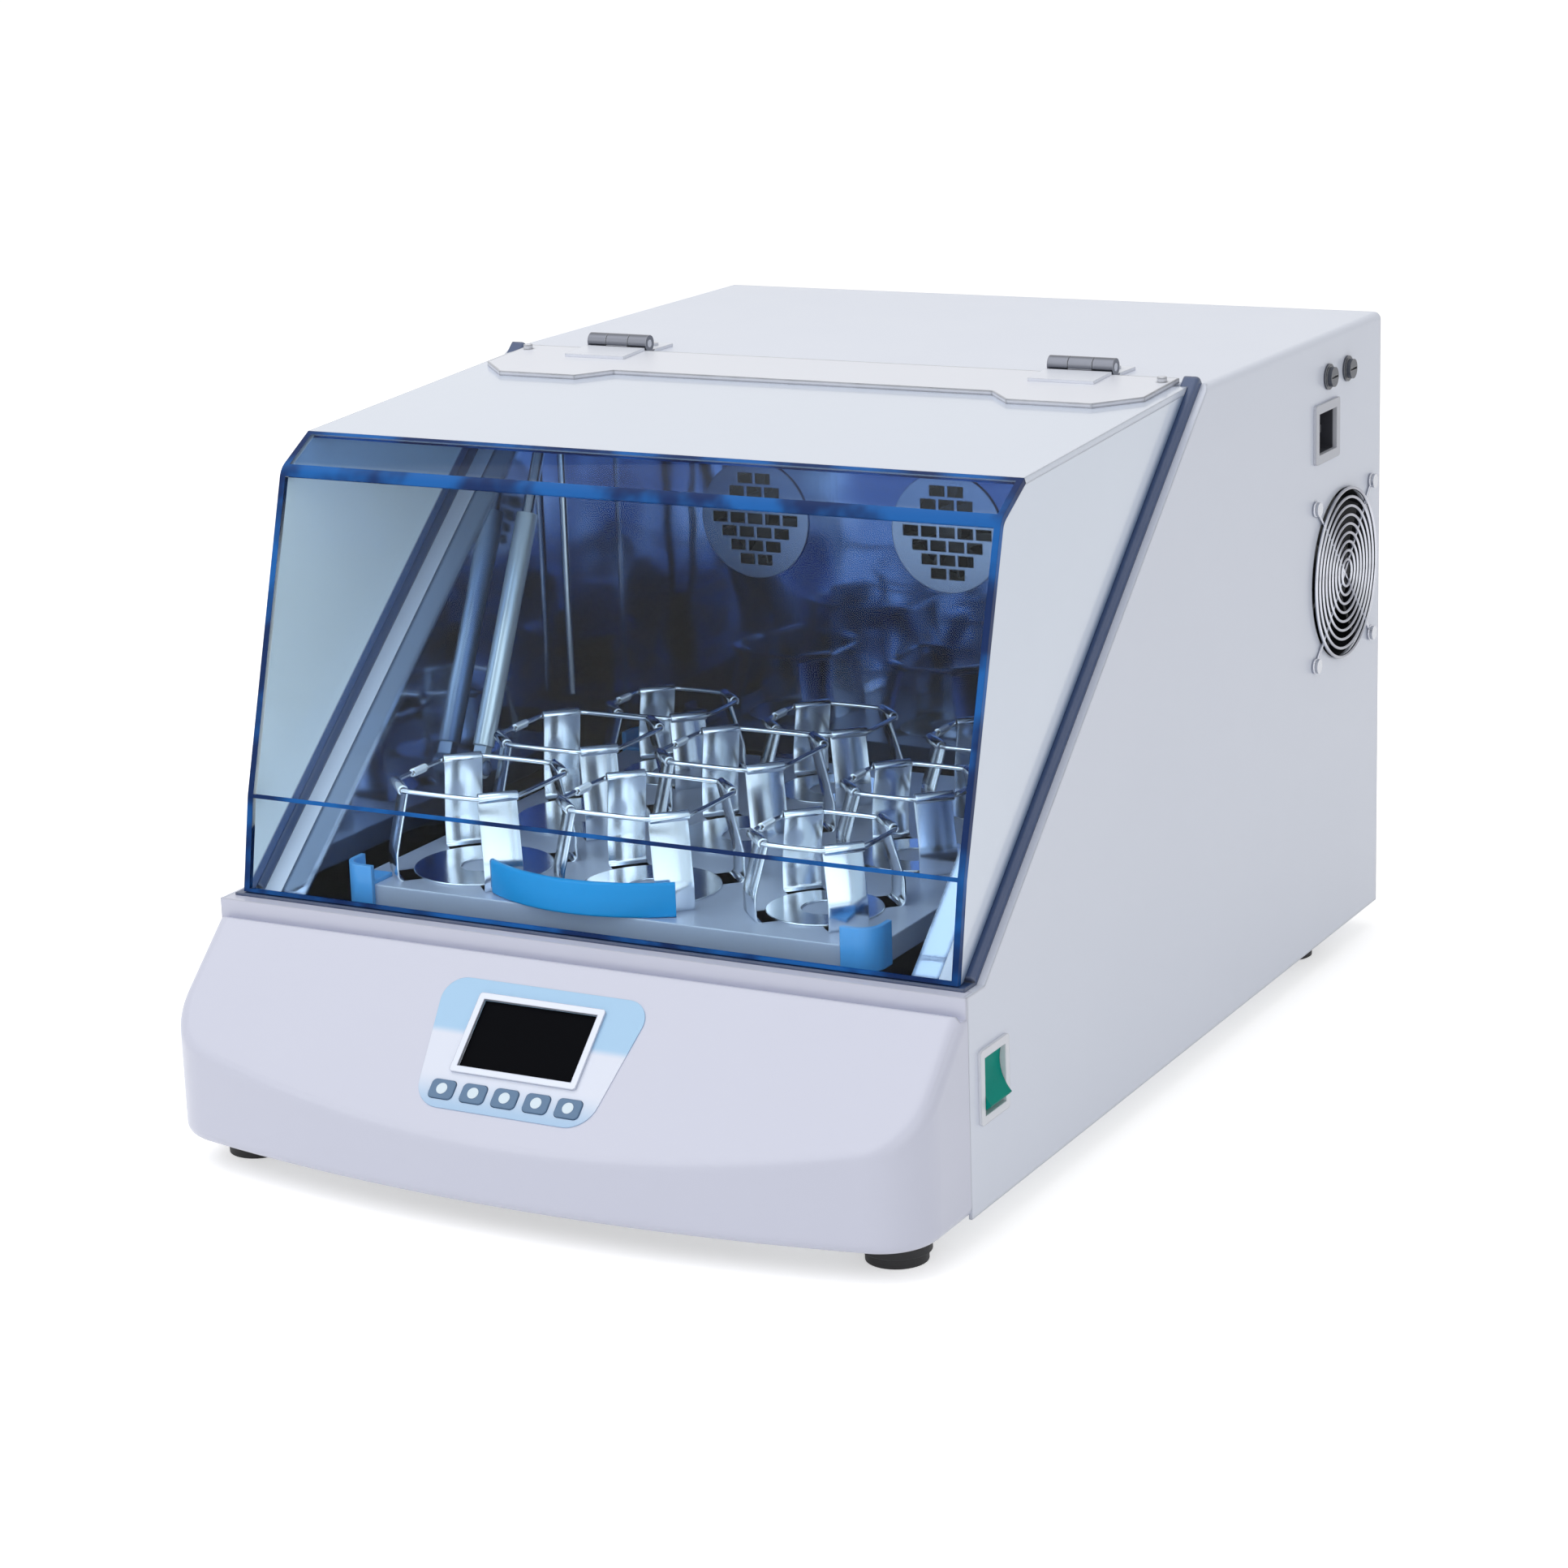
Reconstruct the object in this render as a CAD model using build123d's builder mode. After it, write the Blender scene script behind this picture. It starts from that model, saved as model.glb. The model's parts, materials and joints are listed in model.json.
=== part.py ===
"""Incubated benchtop shaker: a heated chamber under a tinted lifting hood, with an orbiting clamp platform.

Millimetres, +Z up. The control panel faces -Y and the side with the fan guard faces +X. The origin is on the
bench under the middle of the case. The hood is modelled shut and the platform at the front of its orbit.
"""

import os
from math import atan2, cos, hypot, pi, radians, sin, sqrt

from build123d import *

# ---- Driving dimensions: case ----
CASE_WIDTH = 500.0
CASE_REAR_Y = 376.0
CASE_FRONT_Y = -280.0
CASE_TOP_Z = 430.0
FOOT_HEIGHT = 18.0
FOOT_RADIUS = 20.0
FOOT_INSET = 34.0
FOOT_SPREAD_X = CASE_WIDTH / 2 - FOOT_INSET
FOOT_FRONT_Y = -306.0
FOOT_REAR_Y = 290.0
FOOT_RECESS_SHARE = 0.4
SHEET = 2.0
CASE_BEND = 5.0
REAR_FLANGE = 12.0
REAR_FLANGE_Z = 50.0
PAN_FLANGE = 22.0
MOUTH_TOP_Y = 72.0
MOUTH_LOW_Y = -258.0
SILL_Z = 148.0
PANEL_GAP = 0.5
VENT_SLOT = (46.0, 5.0)
VENT_COUNT = (6, 5)
VENT_PITCH = (62.0, 13.0)
VENT_Z = 110.0

# ---- Front fascia ----
NOSE_Y = -376.0
NOSE_BULGE = 29.0
NOSE_CORNER = 36.0
SLOPE_ANGLE = 43.0
SLOPE_TOP_Y = -288.0
SLOPE_TOP_Z = 138.0
LIP_FRONT_Y = -282.0
LIP_BACK_Y = -270.0
GROOVE_WIDTH = 4.0
GROOVE_DEPTH = 3.0
FASCIA_WALL = 3.0
CREASE_FILLET = 9.0
NOSE_BOTTOM_FILLET = 8.0
FASCIA_RETURN = 14.0
FASCIA_CORE_STEP = 1.0
TURN_TOLERANCE = 0.01

# ---- Control panel, in the sloping face: across, and down the slope from its top edge ----
CONTROL_X = -6.0
OVERLAY_TOP_S = 17.0
OVERLAY_LOW_S = 101.0
OVERLAY_TOP_HALF = 70.0
OVERLAY_LOW_HALF = 57.0
OVERLAY_TOP_RADIUS = 14.0
OVERLAY_LOW_RADIUS = 18.0
OVERLAY_THICKNESS = 0.6
SCREEN_WIDTH = 76.0
SCREEN_HEIGHT = 44.0
SCREEN_S = 52.0
BEZEL_BORDER = 4.0
BEZEL_HEIGHT = 1.8
WINDOW_MARGIN = 2.0
BOARD_WIDTH = 124.0
BOARD_LENGTH = 88.0
BOARD_THICKNESS = 1.6
BOARD_S = 56.0
BOARD_DEPTH = 8.0
BOSS_RADIUS = 3.0
BOSS_INSET = 5.0
KEY_COUNT = 5
KEY_PITCH = 21.0
KEY_WIDTH = 16.0
KEY_LENGTH = 12.0
KEY_CORNER = 3.0
KEY_S = 89.5
KEY_PROUD = 1.0
KEY_FLANGE = 1.5
KEY_FLANGE_THICKNESS = 1.2
KEY_TRAVEL = 1.2
KEY_CLEARANCE = 0.3
CONTACT_SIZE = 6.0

# ---- Chamber ----
CHAMBER_SIDE = 45.0
CHAMBER_WIDTH = CASE_WIDTH - 2 * CHAMBER_SIDE
CHAMBER_BACK_Y = 130.0
CHAMBER_FRONT_Y = -262.0
CHAMBER_FLOOR_Z = 112.0
CHAMBER_ROOF = 6.0
CHAMBER_CEILING_Z = CASE_TOP_Z - CHAMBER_ROOF
LINER = 1.5
RIM_WIDTH = 17.0
MAIN_FLOOR_HOLE = 30.0
IDLER_FLOOR_HOLE = 22.0

# ---- Lid gasket ----
GASKET_INSET = 16.0
GASKET_INNER_X = CASE_WIDTH / 2 - GASKET_INSET
GASKET_WIDTH = 11.0
GASKET_HEIGHT = 6.0
GASKET_ROUND = 2.5
GASKET_SILL_WIDTH = 7.0
GASKET_SILL_HEIGHT = 1.7
GASKET_TOP_WIDTH = 5.5
GASKET_TOP_HEIGHT = 1.2
GASKET_TOP_INSET = 3.0
SEAL_GAP = 0.3

# ---- Lid hood: its outer side outline, from the back of the top panel to the bottom of the front ----
LID_INSET = 10.0
LID_WIDTH = CASE_WIDTH - 2 * LID_INSET
LID_SHEET = 4.0
LID_BACK_DROP = 0.5
LID_BROW_DROP = 13.7
LID_BEVEL_DROP = 31.4
LID_HEM_RISE = 2.3
LID_BACK = (66.0, CASE_TOP_Z - LID_BACK_DROP)
LID_BROW = (-174.0, CASE_TOP_Z - LID_BROW_DROP)
LID_BEVEL = (-205.0, CASE_TOP_Z - LID_BEVEL_DROP)
LID_KNEE = (-261.0, 208.0)
LID_HEM = (-271.5, SILL_Z + LID_HEM_RISE)
STRIP_THICKNESS = 3.0
STRIP_INSET = 19.0
STRIP_HALF = CASE_WIDTH / 2 - STRIP_INSET
STRIP_BACK_Y = 70.5
STRIP_FRONT_Y = 12.0
STRIP_EAR_FRONT_Y = -7.0
STRIP_EAR = 80.0
STRIP_STEP = 18.0
STRIP_EAR_X = STRIP_HALF - STRIP_EAR
STRIP_STEP_X = STRIP_EAR_X - STRIP_STEP
STRIP_CORNER_CUT = 24.0
RIVET_INSET = 6.0
RIVET_X = STRIP_HALF - RIVET_INSET
RIVET_Y = 58.0
RIVET_RADIUS = 3.0
RIVET_HEIGHT = 3.0

# ---- Hinges ----
HINGE_Y = 76.0
HINGE_RISE = 6.5
HINGE_INSET = 85.0
HINGE_Z = CASE_TOP_Z + HINGE_RISE
HINGE_SPREAD_X = CASE_WIDTH / 2 - HINGE_INSET
HINGE_WIDTH = 44.0
KNUCKLE_RADIUS = 5.5
KNUCKLE_GAP = 0.4
LID_KNUCKLE = 16.0
HINGE_PIN_RADIUS = 2.5
HINGE_CLEARANCE = 0.05
HINGE_LEAF = 2.0
CASE_LEAF_LENGTH = 30.0
LID_LEAF_LENGTH = 34.0
LEAF_SETBACK = 6.3

# ---- Gas struts ----
STRUT_INSET = 13.0
STRUT_DROP = 34.0
STRUT_X = CHAMBER_WIDTH / 2 - STRUT_INSET
STRUT_TOP = (24.0, CASE_TOP_Z - STRUT_DROP)
STRUT_LEAN = 25.6
STRUT_LENGTH = 235.0
STRUT_CYLINDER_RADIUS = 7.0
STRUT_CYLINDER_END = 168.0
STRUT_WALL = 1.5
STRUT_CAP = 8.0
STRUT_BORE_START = 66.0
STRUT_ROD_START = 80.0
STRUT_PISTON = 6.0
STRUT_ROD_RADIUS = 4.0
STRUT_CLEARANCE = 0.08
STRUT_EYE_RADIUS = 7.0
STRUT_EYE_WIDTH = 9.0
STRUT_STUD_RADIUS = 3.0
STRUT_STUD_HEAD = 5.0
STRUT_HEAD_THICKNESS = 1.5
STRUT_GAP = 0.3
BRACKET_WIDTH = 26.0
BRACKET_PLATE = 2.0
BRACKET_FOOT = 22.0

# ---- Rocker switch, low on the right side ----
SWITCH_Y = -250.5
SWITCH_Z = 91.0
SWITCH_WIDTH = 27.0
SWITCH_HEIGHT = 34.0
SWITCH_BEZEL = 5.0
SWITCH_BEZEL_PROUD = 2.0
SWITCH_DEPTH = 22.0
SWITCH_WALL = 1.5
ROCKER_GAP = 0.5
ROCKER_PIVOT_RADIUS = 2.0
ROCKER_PIVOT_CLEARANCE = 0.06
ROCKER_PIVOT_DEPTH = 7.0
ROCKER_TILT = 14.0
ROCKER_CREST = 6.5
ROCKER_DISH = 5.5
ROCKER_BACK = 5.0

# ---- Rear of the right side ----
INLET_Y = 271.5
INLET_DROP = 63.0
INLET_Z = CASE_TOP_Z - INLET_DROP
INLET_WIDTH = 32.0
INLET_HEIGHT = 27.0
INLET_FLANGE = 4.0
INLET_PROUD = 2.0
INLET_DEPTH = 22.0
INLET_WALL = 2.0
INLET_CONTACT = (2.0, 5.0, 14.0)
INLET_CONTACT_PITCH = 7.0
FUSE_Y = (276.0, 311.0)
FUSE_DROP = 28.0
FUSE_Z = CASE_TOP_Z - FUSE_DROP
FUSE_FLANGE_RADIUS = 8.5
FUSE_CAP_RADIUS = 6.5
FUSE_BODY_RADIUS = 6.0
FUSE_FLANGE = 1.5
FUSE_PROUD = 5.0
FUSE_LENGTH = 34.0
FUSE_SLOT = 1.5
FAN_Y = 305.0
FAN_DROP = 164.0
FAN_Z = CASE_TOP_Z - FAN_DROP
FAN_SIZE = 120.0
FAN_THICKNESS = 25.0
FAN_BORE_RADIUS = 57.0
FAN_CORNER = 6.0
FAN_SCREW_PITCH = 105.0
FAN_SCREW_HOLE = 2.2
FAN_HUB_RADIUS = 20.0
FAN_HUB_LENGTH = 17.0
FAN_HUB_SETBACK = 1.0
FAN_TIP_RADIUS = 54.5
FAN_BLADES = 7
FAN_BLADE_PITCH = 38.0
FAN_BLADE_CHORD = 20.0
FAN_BLADE_THICKNESS = 1.6
FAN_SPIDER = 6.0
FAN_SPIDER_DEPTH = 3.5
FAN_SHAFT_RADIUS = 2.0
FAN_SHAFT_CLEARANCE = 0.06
GUARD_WIRE = 1.1
GUARD_RINGS = 9
GUARD_RADIUS = 56.5
GUARD_INNER_RADIUS = 9.0
GUARD_LOOP_RADIUS = 4.2
GUARD_SPOKE_ANGLE = 45
GUARD_LAY = 1.5

# ---- Circulation fans on the chamber's back wall, and the heater behind it ----
BLOWER_X = (-98.0, 44.0)
BLOWER_DROP = 117.0
BLOWER_Z = CASE_TOP_Z - BLOWER_DROP
BLOWER_HOLE_RADIUS = 35.0
GRILLE_RADIUS = 40.0
GRILLE_THICKNESS = 1.5
GRILLE_BORDER = 3.0
GRILLE_SLOT = (11.0, 7.0)
GRILLE_BAR = 2.2
IMPELLER_RADIUS = 31.0
IMPELLER_WIDTH = 16.0
IMPELLER_HUB = 8.0
IMPELLER_DISC = 2.0
IMPELLER_BLADE_START = 17.0
IMPELLER_BLADES = 9
IMPELLER_BLADE = 1.5
IMPELLER_Y = 134.0
BLOWER_BRACKET_WIDTH = 12.0
BLOWER_BRACKET = 3.0
BLOWER_BRACKET_REACH = 40.0
BLOWER_MOTOR_RADIUS = 24.0
BLOWER_MOTOR_LENGTH = 26.0
BLOWER_SHAFT_RADIUS = 2.5
BLOWER_SHAFT_CLEARANCE = 0.06
BLOWER_SHAFT_REACH = 12.0
HEATER_TUBE = 4.0
HEATER_LOW_Z = 176.0
HEATER_PITCH = 26.0
HEATER_RUNS = 4
HEATER_HALF_WIDTH = 120.0
HEATER_BEND = 12.0
PROBE_RADIUS = 2.5
PROBE_INSET = 9.0
PROBE_X = PROBE_INSET - CHAMBER_WIDTH / 2
PROBE_Y = 46.0
PROBE_DROP = 54.0
PROBE_TOP_Z = CASE_TOP_Z - PROBE_DROP
PROBE_LENGTH = 172.0
PROBE_NUT_RADIUS = 6.0
PROBE_NUT = 3.0
HEX_SIDES = 6
INSULATION = 30.0
INSULATION_FRONT_Y = -222.0
INSULATION_BACK_Y = 126.0
INSULATION_UNDER_MOUTH = 8.0
REAR_INSULATION = 20.0
REAR_INSULATION_INSET = 5.0
REAR_INSULATION_HALF = CHAMBER_WIDTH / 2 - REAR_INSULATION_INSET
REAR_INSULATION_LOW_Z = 180.0
REAR_INSULATION_DROP = 18.0
REAR_INSULATION_TOP_Z = CASE_TOP_Z - REAR_INSULATION_DROP

# ---- Orbital drive ----
ORBIT_RADIUS = 10.0
DRIVE_Y = -65.0
SHAFT_RADIUS = 10.0
SHAFT_LOW_Z = 30.0
BORE_END_GAP = 1.0
BEARING_OUTER_RADIUS = 21.0
BEARING_WIDTH = 12.0
BEARING_CLEARANCE = 0.05
BEARING_LOW_Z = 34.0
BEARING_HIGH_Z = 56.0
HOUSING_FLANGE_RADIUS = 55.0
HOUSING_FLANGE = 7.0
HOUSING_RADIUS = 29.0
HOUSING_TOP_Z = 70.0
HOUSING_SHOULDER = 18.0
PULLEY_Z = 74.0
PULLEY_WIDTH = 16.0
DRIVE_PULLEY_RADIUS = 60.0
MOTOR_PULLEY_RADIUS = 20.0
PULLEY_WEB_HOLE = 12.0
PULLEY_WEB_CIRCLE = 36.0
PULLEY_WEB_HOLES = 6
BELT_THICKNESS = 2.0
BELT_GAP = 0.3
BELT_MARGIN = 2.0
CRANK_Z = 92.0
CRANK_THICKNESS = 9.0
CRANK_RADIUS = 28.0
COUNTERWEIGHT_RADIUS = 70.0
COUNTERWEIGHT_ANGLE = 130.0
CRANK_PIN_RADIUS = 7.5
PIN_TOP_Z = 138.0
PIN_CLEARANCE = 0.06
IDLER_X = 120.0
IDLER_Y = 20.0
IDLER_SHAFT_RADIUS = 6.0
IDLER_PIN_RADIUS = 5.0
IDLER_WEB_RADIUS = 12.0
IDLER_WEB_Z = 84.0
IDLER_WEB = 8.0
IDLER_POST_RADIUS = 17.0
IDLER_POST_FLANGE_RADIUS = 28.0
IDLER_POST_FLANGE = 6.0
IDLER_POST_TOP_Z = 82.0
IDLER_SHAFT_LOW_Z = 32.0
MOTOR_Y = 185.0
MOTOR_RADIUS = 38.0
MOTOR_FLANGE_RADIUS = 46.0
MOTOR_FLANGE = 4.0
MOTOR_TOP_Z = 68.0
MOTOR_SHAFT_RADIUS = 5.0
MOTOR_SHAFT_LOW_Z = 48.0
MOTOR_SHAFT_CLEARANCE = 0.06

# ---- Platform ----
PLATFORM_GAP = 28.0
PLATFORM_WIDTH = CHAMBER_WIDTH - 2 * PLATFORM_GAP
PLATFORM_DEPTH = 350.0
PLATFORM_TOP_Z = 158.0
PLATFORM_FRONT_Y = -250.0
TRAY_SHEET = 3.0
TRAY_SKIRT = 14.0
TRAY_CORNER = 10.0
DRIVE_PLATE_SIZE = 280.0
DRIVE_PLATE = 6.0
DRIVE_PLATE_TOP_Z = 140.0
HUB_RADIUS = 24.0
HUB_LOW_Z = 118.0
IDLER_HUB_RADIUS = 14.0
STANDOFF_RADIUS = 8.0
STANDOFF_SPREAD = 105.0
CAP_SIZE = 22.0
CAP_PROUD = 3.0
CAP_PLATE = 2.5
CAP_RISE = 12.0
HANDLE_X = -18.0
HANDLE_CHORD = 126.0
HANDLE_BACK_Y = -240.0
HANDLE_FRONT_Y = -258.5
HANDLE_HEIGHT = 21.0
HANDLE_THICKNESS = 4.0

# ---- Flask clamps: a large size for a 105 mm base and a small one for an 85 mm base ----
CLAMP_PITCH = 117.0
CLAMP_ROW_Y = -192.0
CLAMP_SHEET = 1.2
CLAMP_STRIP_WIDTH = 24.0
CLAMP_HOLE_RADIUS = 14.0
CLAMP_PLATE_SHARE = 0.8
CLAMP_TIP_FLARE = 4.0
CLAMP_TIP_HEIGHT = 6.0
CLAMP_SHOULDER_HEIGHT = 16.0
LARGE_BASE_RADIUS = 53.5
LARGE_NECK_RADIUS = 45.0
LARGE_NECK_HEIGHT = 57.0
SMALL_BASE_RADIUS = 43.5
SMALL_NECK_RADIUS = 35.0
SMALL_NECK_HEIGHT = 48.0
RING_WIRE = 1.5
RING_GAP = 0.5
LARGE_PLACES = ((-1, 0), (0, 0), (-1, 1), (0, 1))
SMALL_PLACES = ((1, 0), (1, 1), (-1, 2), (0, 2), (1, 2))

# ---- Fasteners ----
SCREW_HEAD_RADIUS = 3.6
SCREW_HEAD = 1.8
SCREW_RADIUS = 1.9
SCREW_LENGTH = 9.0
LEAF_SCREW_SPREAD = 13.0
LEAF_SCREW_SHARE = 0.65

# ---- Worked-out places ----
HALF_WIDTH = CASE_WIDTH / 2
INNER_HALF = HALF_WIDTH - SHEET
PAN_Z = FOOT_HEIGHT + FASCIA_WALL
PAN_TOP_Z = PAN_Z + SHEET
CHAMBER_HALF = CHAMBER_WIDTH / 2
RIM_X = CHAMBER_HALF + RIM_WIDTH
LID_HALF = LID_WIDTH / 2
LID_INNER_HALF = LID_HALF - LID_SHEET
LID_OUTLINE = [LID_BACK, LID_BROW, LID_BEVEL, LID_KNEE, LID_HEM]
MOUTH_LENGTH = hypot(MOUTH_TOP_Y - MOUTH_LOW_Y, CASE_TOP_Z - SILL_Z)
MOUTH_ANGLE = atan2(CASE_TOP_Z - SILL_Z, MOUTH_TOP_Y - MOUTH_LOW_Y)
SLOPE = radians(SLOPE_ANGLE)
LEAN = radians(STRUT_LEAN)
TOP_SLOPE = atan2(LID_BACK[1] - LID_BROW[1], LID_BACK[0] - LID_BROW[0])
STRUT_LOW = (STRUT_TOP[0] - STRUT_LENGTH * sin(LEAN), STRUT_TOP[1] - STRUT_LENGTH * cos(LEAN))
CRANK_PIN_Y = DRIVE_Y - ORBIT_RADIUS
PLATFORM_HALF = PLATFORM_WIDTH / 2
PLATFORM_MID_Y = PLATFORM_FRONT_Y + PLATFORM_DEPTH / 2
SIDES = {"left": -1, "right": 1}
CONTROL_FACE = Plane(
    origin=(CONTROL_X, SLOPE_TOP_Y, SLOPE_TOP_Z),
    x_dir=(1, 0, 0),
    z_dir=(0, -sin(SLOPE), cos(SLOPE)),
)
SIDE_FACE = Plane(origin=(HALF_WIDTH, 0, 0), x_dir=(0, 1, 0), z_dir=(1, 0, 0))
LID_TOP_FACE = Plane(
    origin=(0, LID_BACK[0], LID_BACK[1]),
    x_dir=(1, 0, 0),
    z_dir=(0, -sin(TOP_SLOPE), cos(TOP_SLOPE)),
)
FOOT_PLACES = [(x, y) for x in (-FOOT_SPREAD_X, FOOT_SPREAD_X) for y in (FOOT_FRONT_Y, FOOT_REAR_Y)]
FAN_SCREW_PLACES = [
    (FAN_Y + dy * FAN_SCREW_PITCH / 2, FAN_Z + dz * FAN_SCREW_PITCH / 2) for dy in (-1, 1) for dz in (-1, 1)
]
KEY_PLACES = [((k - (KEY_COUNT - 1) / 2) * KEY_PITCH, -KEY_S) for k in range(KEY_COUNT)]
IDLER_PLACES = [(-IDLER_X, IDLER_Y), (IDLER_X, IDLER_Y)]


# ---- Helpers ----
def block(x, y, z, mode=Mode.ADD):
    """A box between two corners, each of x, y and z given as two limits in any order."""
    centre = (sum(x) / 2, sum(y) / 2, sum(z) / 2)
    with Locations(centre):
        Box(abs(x[1] - x[0]), abs(y[1] - y[0]), abs(z[1] - z[0]), mode=mode)


def side_shape(points, x_low, x_high, mode=Mode.ADD):
    """A solid whose outline is drawn in side view as (y, z) points, from x_low to x_high."""
    with BuildSketch(Plane.YZ.offset(x_low)) as outline:
        with BuildLine():
            Polyline(*points, close=True)
        make_face()
    extrude(outline.sketch, amount=x_high - x_low, mode=mode)


def upright(places, radius, low, high, mode=Mode.ADD):
    """Vertical cylinders at (x, y) places, between two heights."""
    with BuildSketch(Plane.XY.offset(low)) as rounds:
        with Locations(*places):
            Circle(radius)
    extrude(rounds.sketch, amount=high - low, mode=mode)


def cross_round(place, radius, x_low, x_high, mode=Mode.ADD):
    """A cylinder along X at a (y, z) place."""
    with BuildSketch(Plane.YZ.offset(x_low)) as round_face:
        with Locations(place):
            Circle(radius)
    extrude(round_face.sketch, amount=x_high - x_low, mode=mode)


def mouth(along, out=0.0):
    """A (y, z) point of the sloping mouth: along it from the sill, and out of its plane."""
    y = MOUTH_LOW_Y + along * cos(MOUTH_ANGLE) - out * sin(MOUTH_ANGLE)
    z = SILL_Z + along * sin(MOUTH_ANGLE) + out * cos(MOUTH_ANGLE)
    return (y, z)


def mouth_band(start, end, low, high):
    """The side outline of a strip along the mouth, between two heights out of its plane."""
    return [mouth(start, low), mouth(end, low), mouth(end, high), mouth(start, high)]


def mouth_at_height(z):
    """How far along the mouth's plane a height lies."""
    return (z - SILL_Z) / sin(MOUTH_ANGLE)


def crossing(a, b, c, d):
    """The point where line a-b crosses line c-d."""
    run = (b[0] - a[0], b[1] - a[1])
    other = (d[0] - c[0], d[1] - c[1])
    cross = run[0] * other[1] - run[1] * other[0]
    t = ((c[0] - a[0]) * other[1] - (c[1] - a[1]) * other[0]) / cross
    return (a[0] + t * run[0], a[1] + t * run[1])


def shifted(a, b, distance):
    """Line a-b moved to its left by distance."""
    length = hypot(b[0] - a[0], b[1] - a[1])
    left = (-(b[1] - a[1]) / length * distance, (b[0] - a[0]) / length * distance)
    return (a[0] + left[0], a[1] + left[1]), (b[0] + left[0], b[1] + left[1])


def inset(points, distance):
    """An open outline moved to its left by distance, its corners kept sharp."""
    lines = [shifted(a, b, distance) for a, b in zip(points, points[1:])]
    corners = [crossing(*first, *second) for first, second in zip(lines, lines[1:])]
    return [lines[0][0], *corners, lines[-1][1]]


def save(part, name):
    """Labels a finished piece and writes it."""
    part.label = name
    export_step(part, f"parts/{name}.step")


LID_INSIDE = inset(LID_OUTLINE, LID_SHEET)
LID_SEAT = (mouth(0, GASKET_HEIGHT + SEAL_GAP), mouth(MOUTH_LENGTH, GASKET_HEIGHT + SEAL_GAP))
MOUTH_CLEARANCE = [
    (NOSE_Y, SILL_Z),
    (MOUTH_LOW_Y, SILL_Z),
    (MOUTH_TOP_Y, CASE_TOP_Z),
    (MOUTH_TOP_Y, CASE_TOP_Z * 2),
    (NOSE_Y, CASE_TOP_Z * 2),
]

os.makedirs("parts", exist_ok=True)

# ---- Base pan and feet ----
PAN_BACK_Y = CASE_REAR_Y - 2 * SHEET - PANEL_GAP
PAN_TONGUE_HALF = FOOT_SPREAD_X + FOOT_RADIUS / 2
PAN_TONGUE_Y = FOOT_FRONT_Y - FOOT_RADIUS
with BuildPart() as base_pan:
    block((-INNER_HALF, INNER_HALF), (CASE_FRONT_Y, PAN_BACK_Y), (PAN_Z, PAN_TOP_Z))
    block((-PAN_TONGUE_HALF, PAN_TONGUE_HALF), (PAN_TONGUE_Y, CASE_FRONT_Y), (PAN_Z, PAN_TOP_Z))
    for side in SIDES.values():
        flange = (side * INNER_HALF, side * (INNER_HALF - SHEET))
        block(flange, (CASE_FRONT_Y, PAN_BACK_Y), (PAN_TOP_Z, PAN_TOP_Z + PAN_FLANGE))
save(base_pan.part, "base_pan")

FOOT_RECESS_RADIUS = FOOT_RADIUS * FOOT_RECESS_SHARE
FOOT_TAPER = 0.9
with BuildPart() as rubber_feet:
    upright(FOOT_PLACES, FOOT_RADIUS * FOOT_TAPER, 0, PAN_Z)
    upright(FOOT_PLACES, FOOT_RADIUS, FOOT_HEIGHT / 3, FOOT_HEIGHT)
    upright(FOOT_PLACES, FOOT_RECESS_RADIUS, 0, FOOT_HEIGHT / 2, mode=Mode.SUBTRACT)
save(rubber_feet.part, "rubber_feet")

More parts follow.
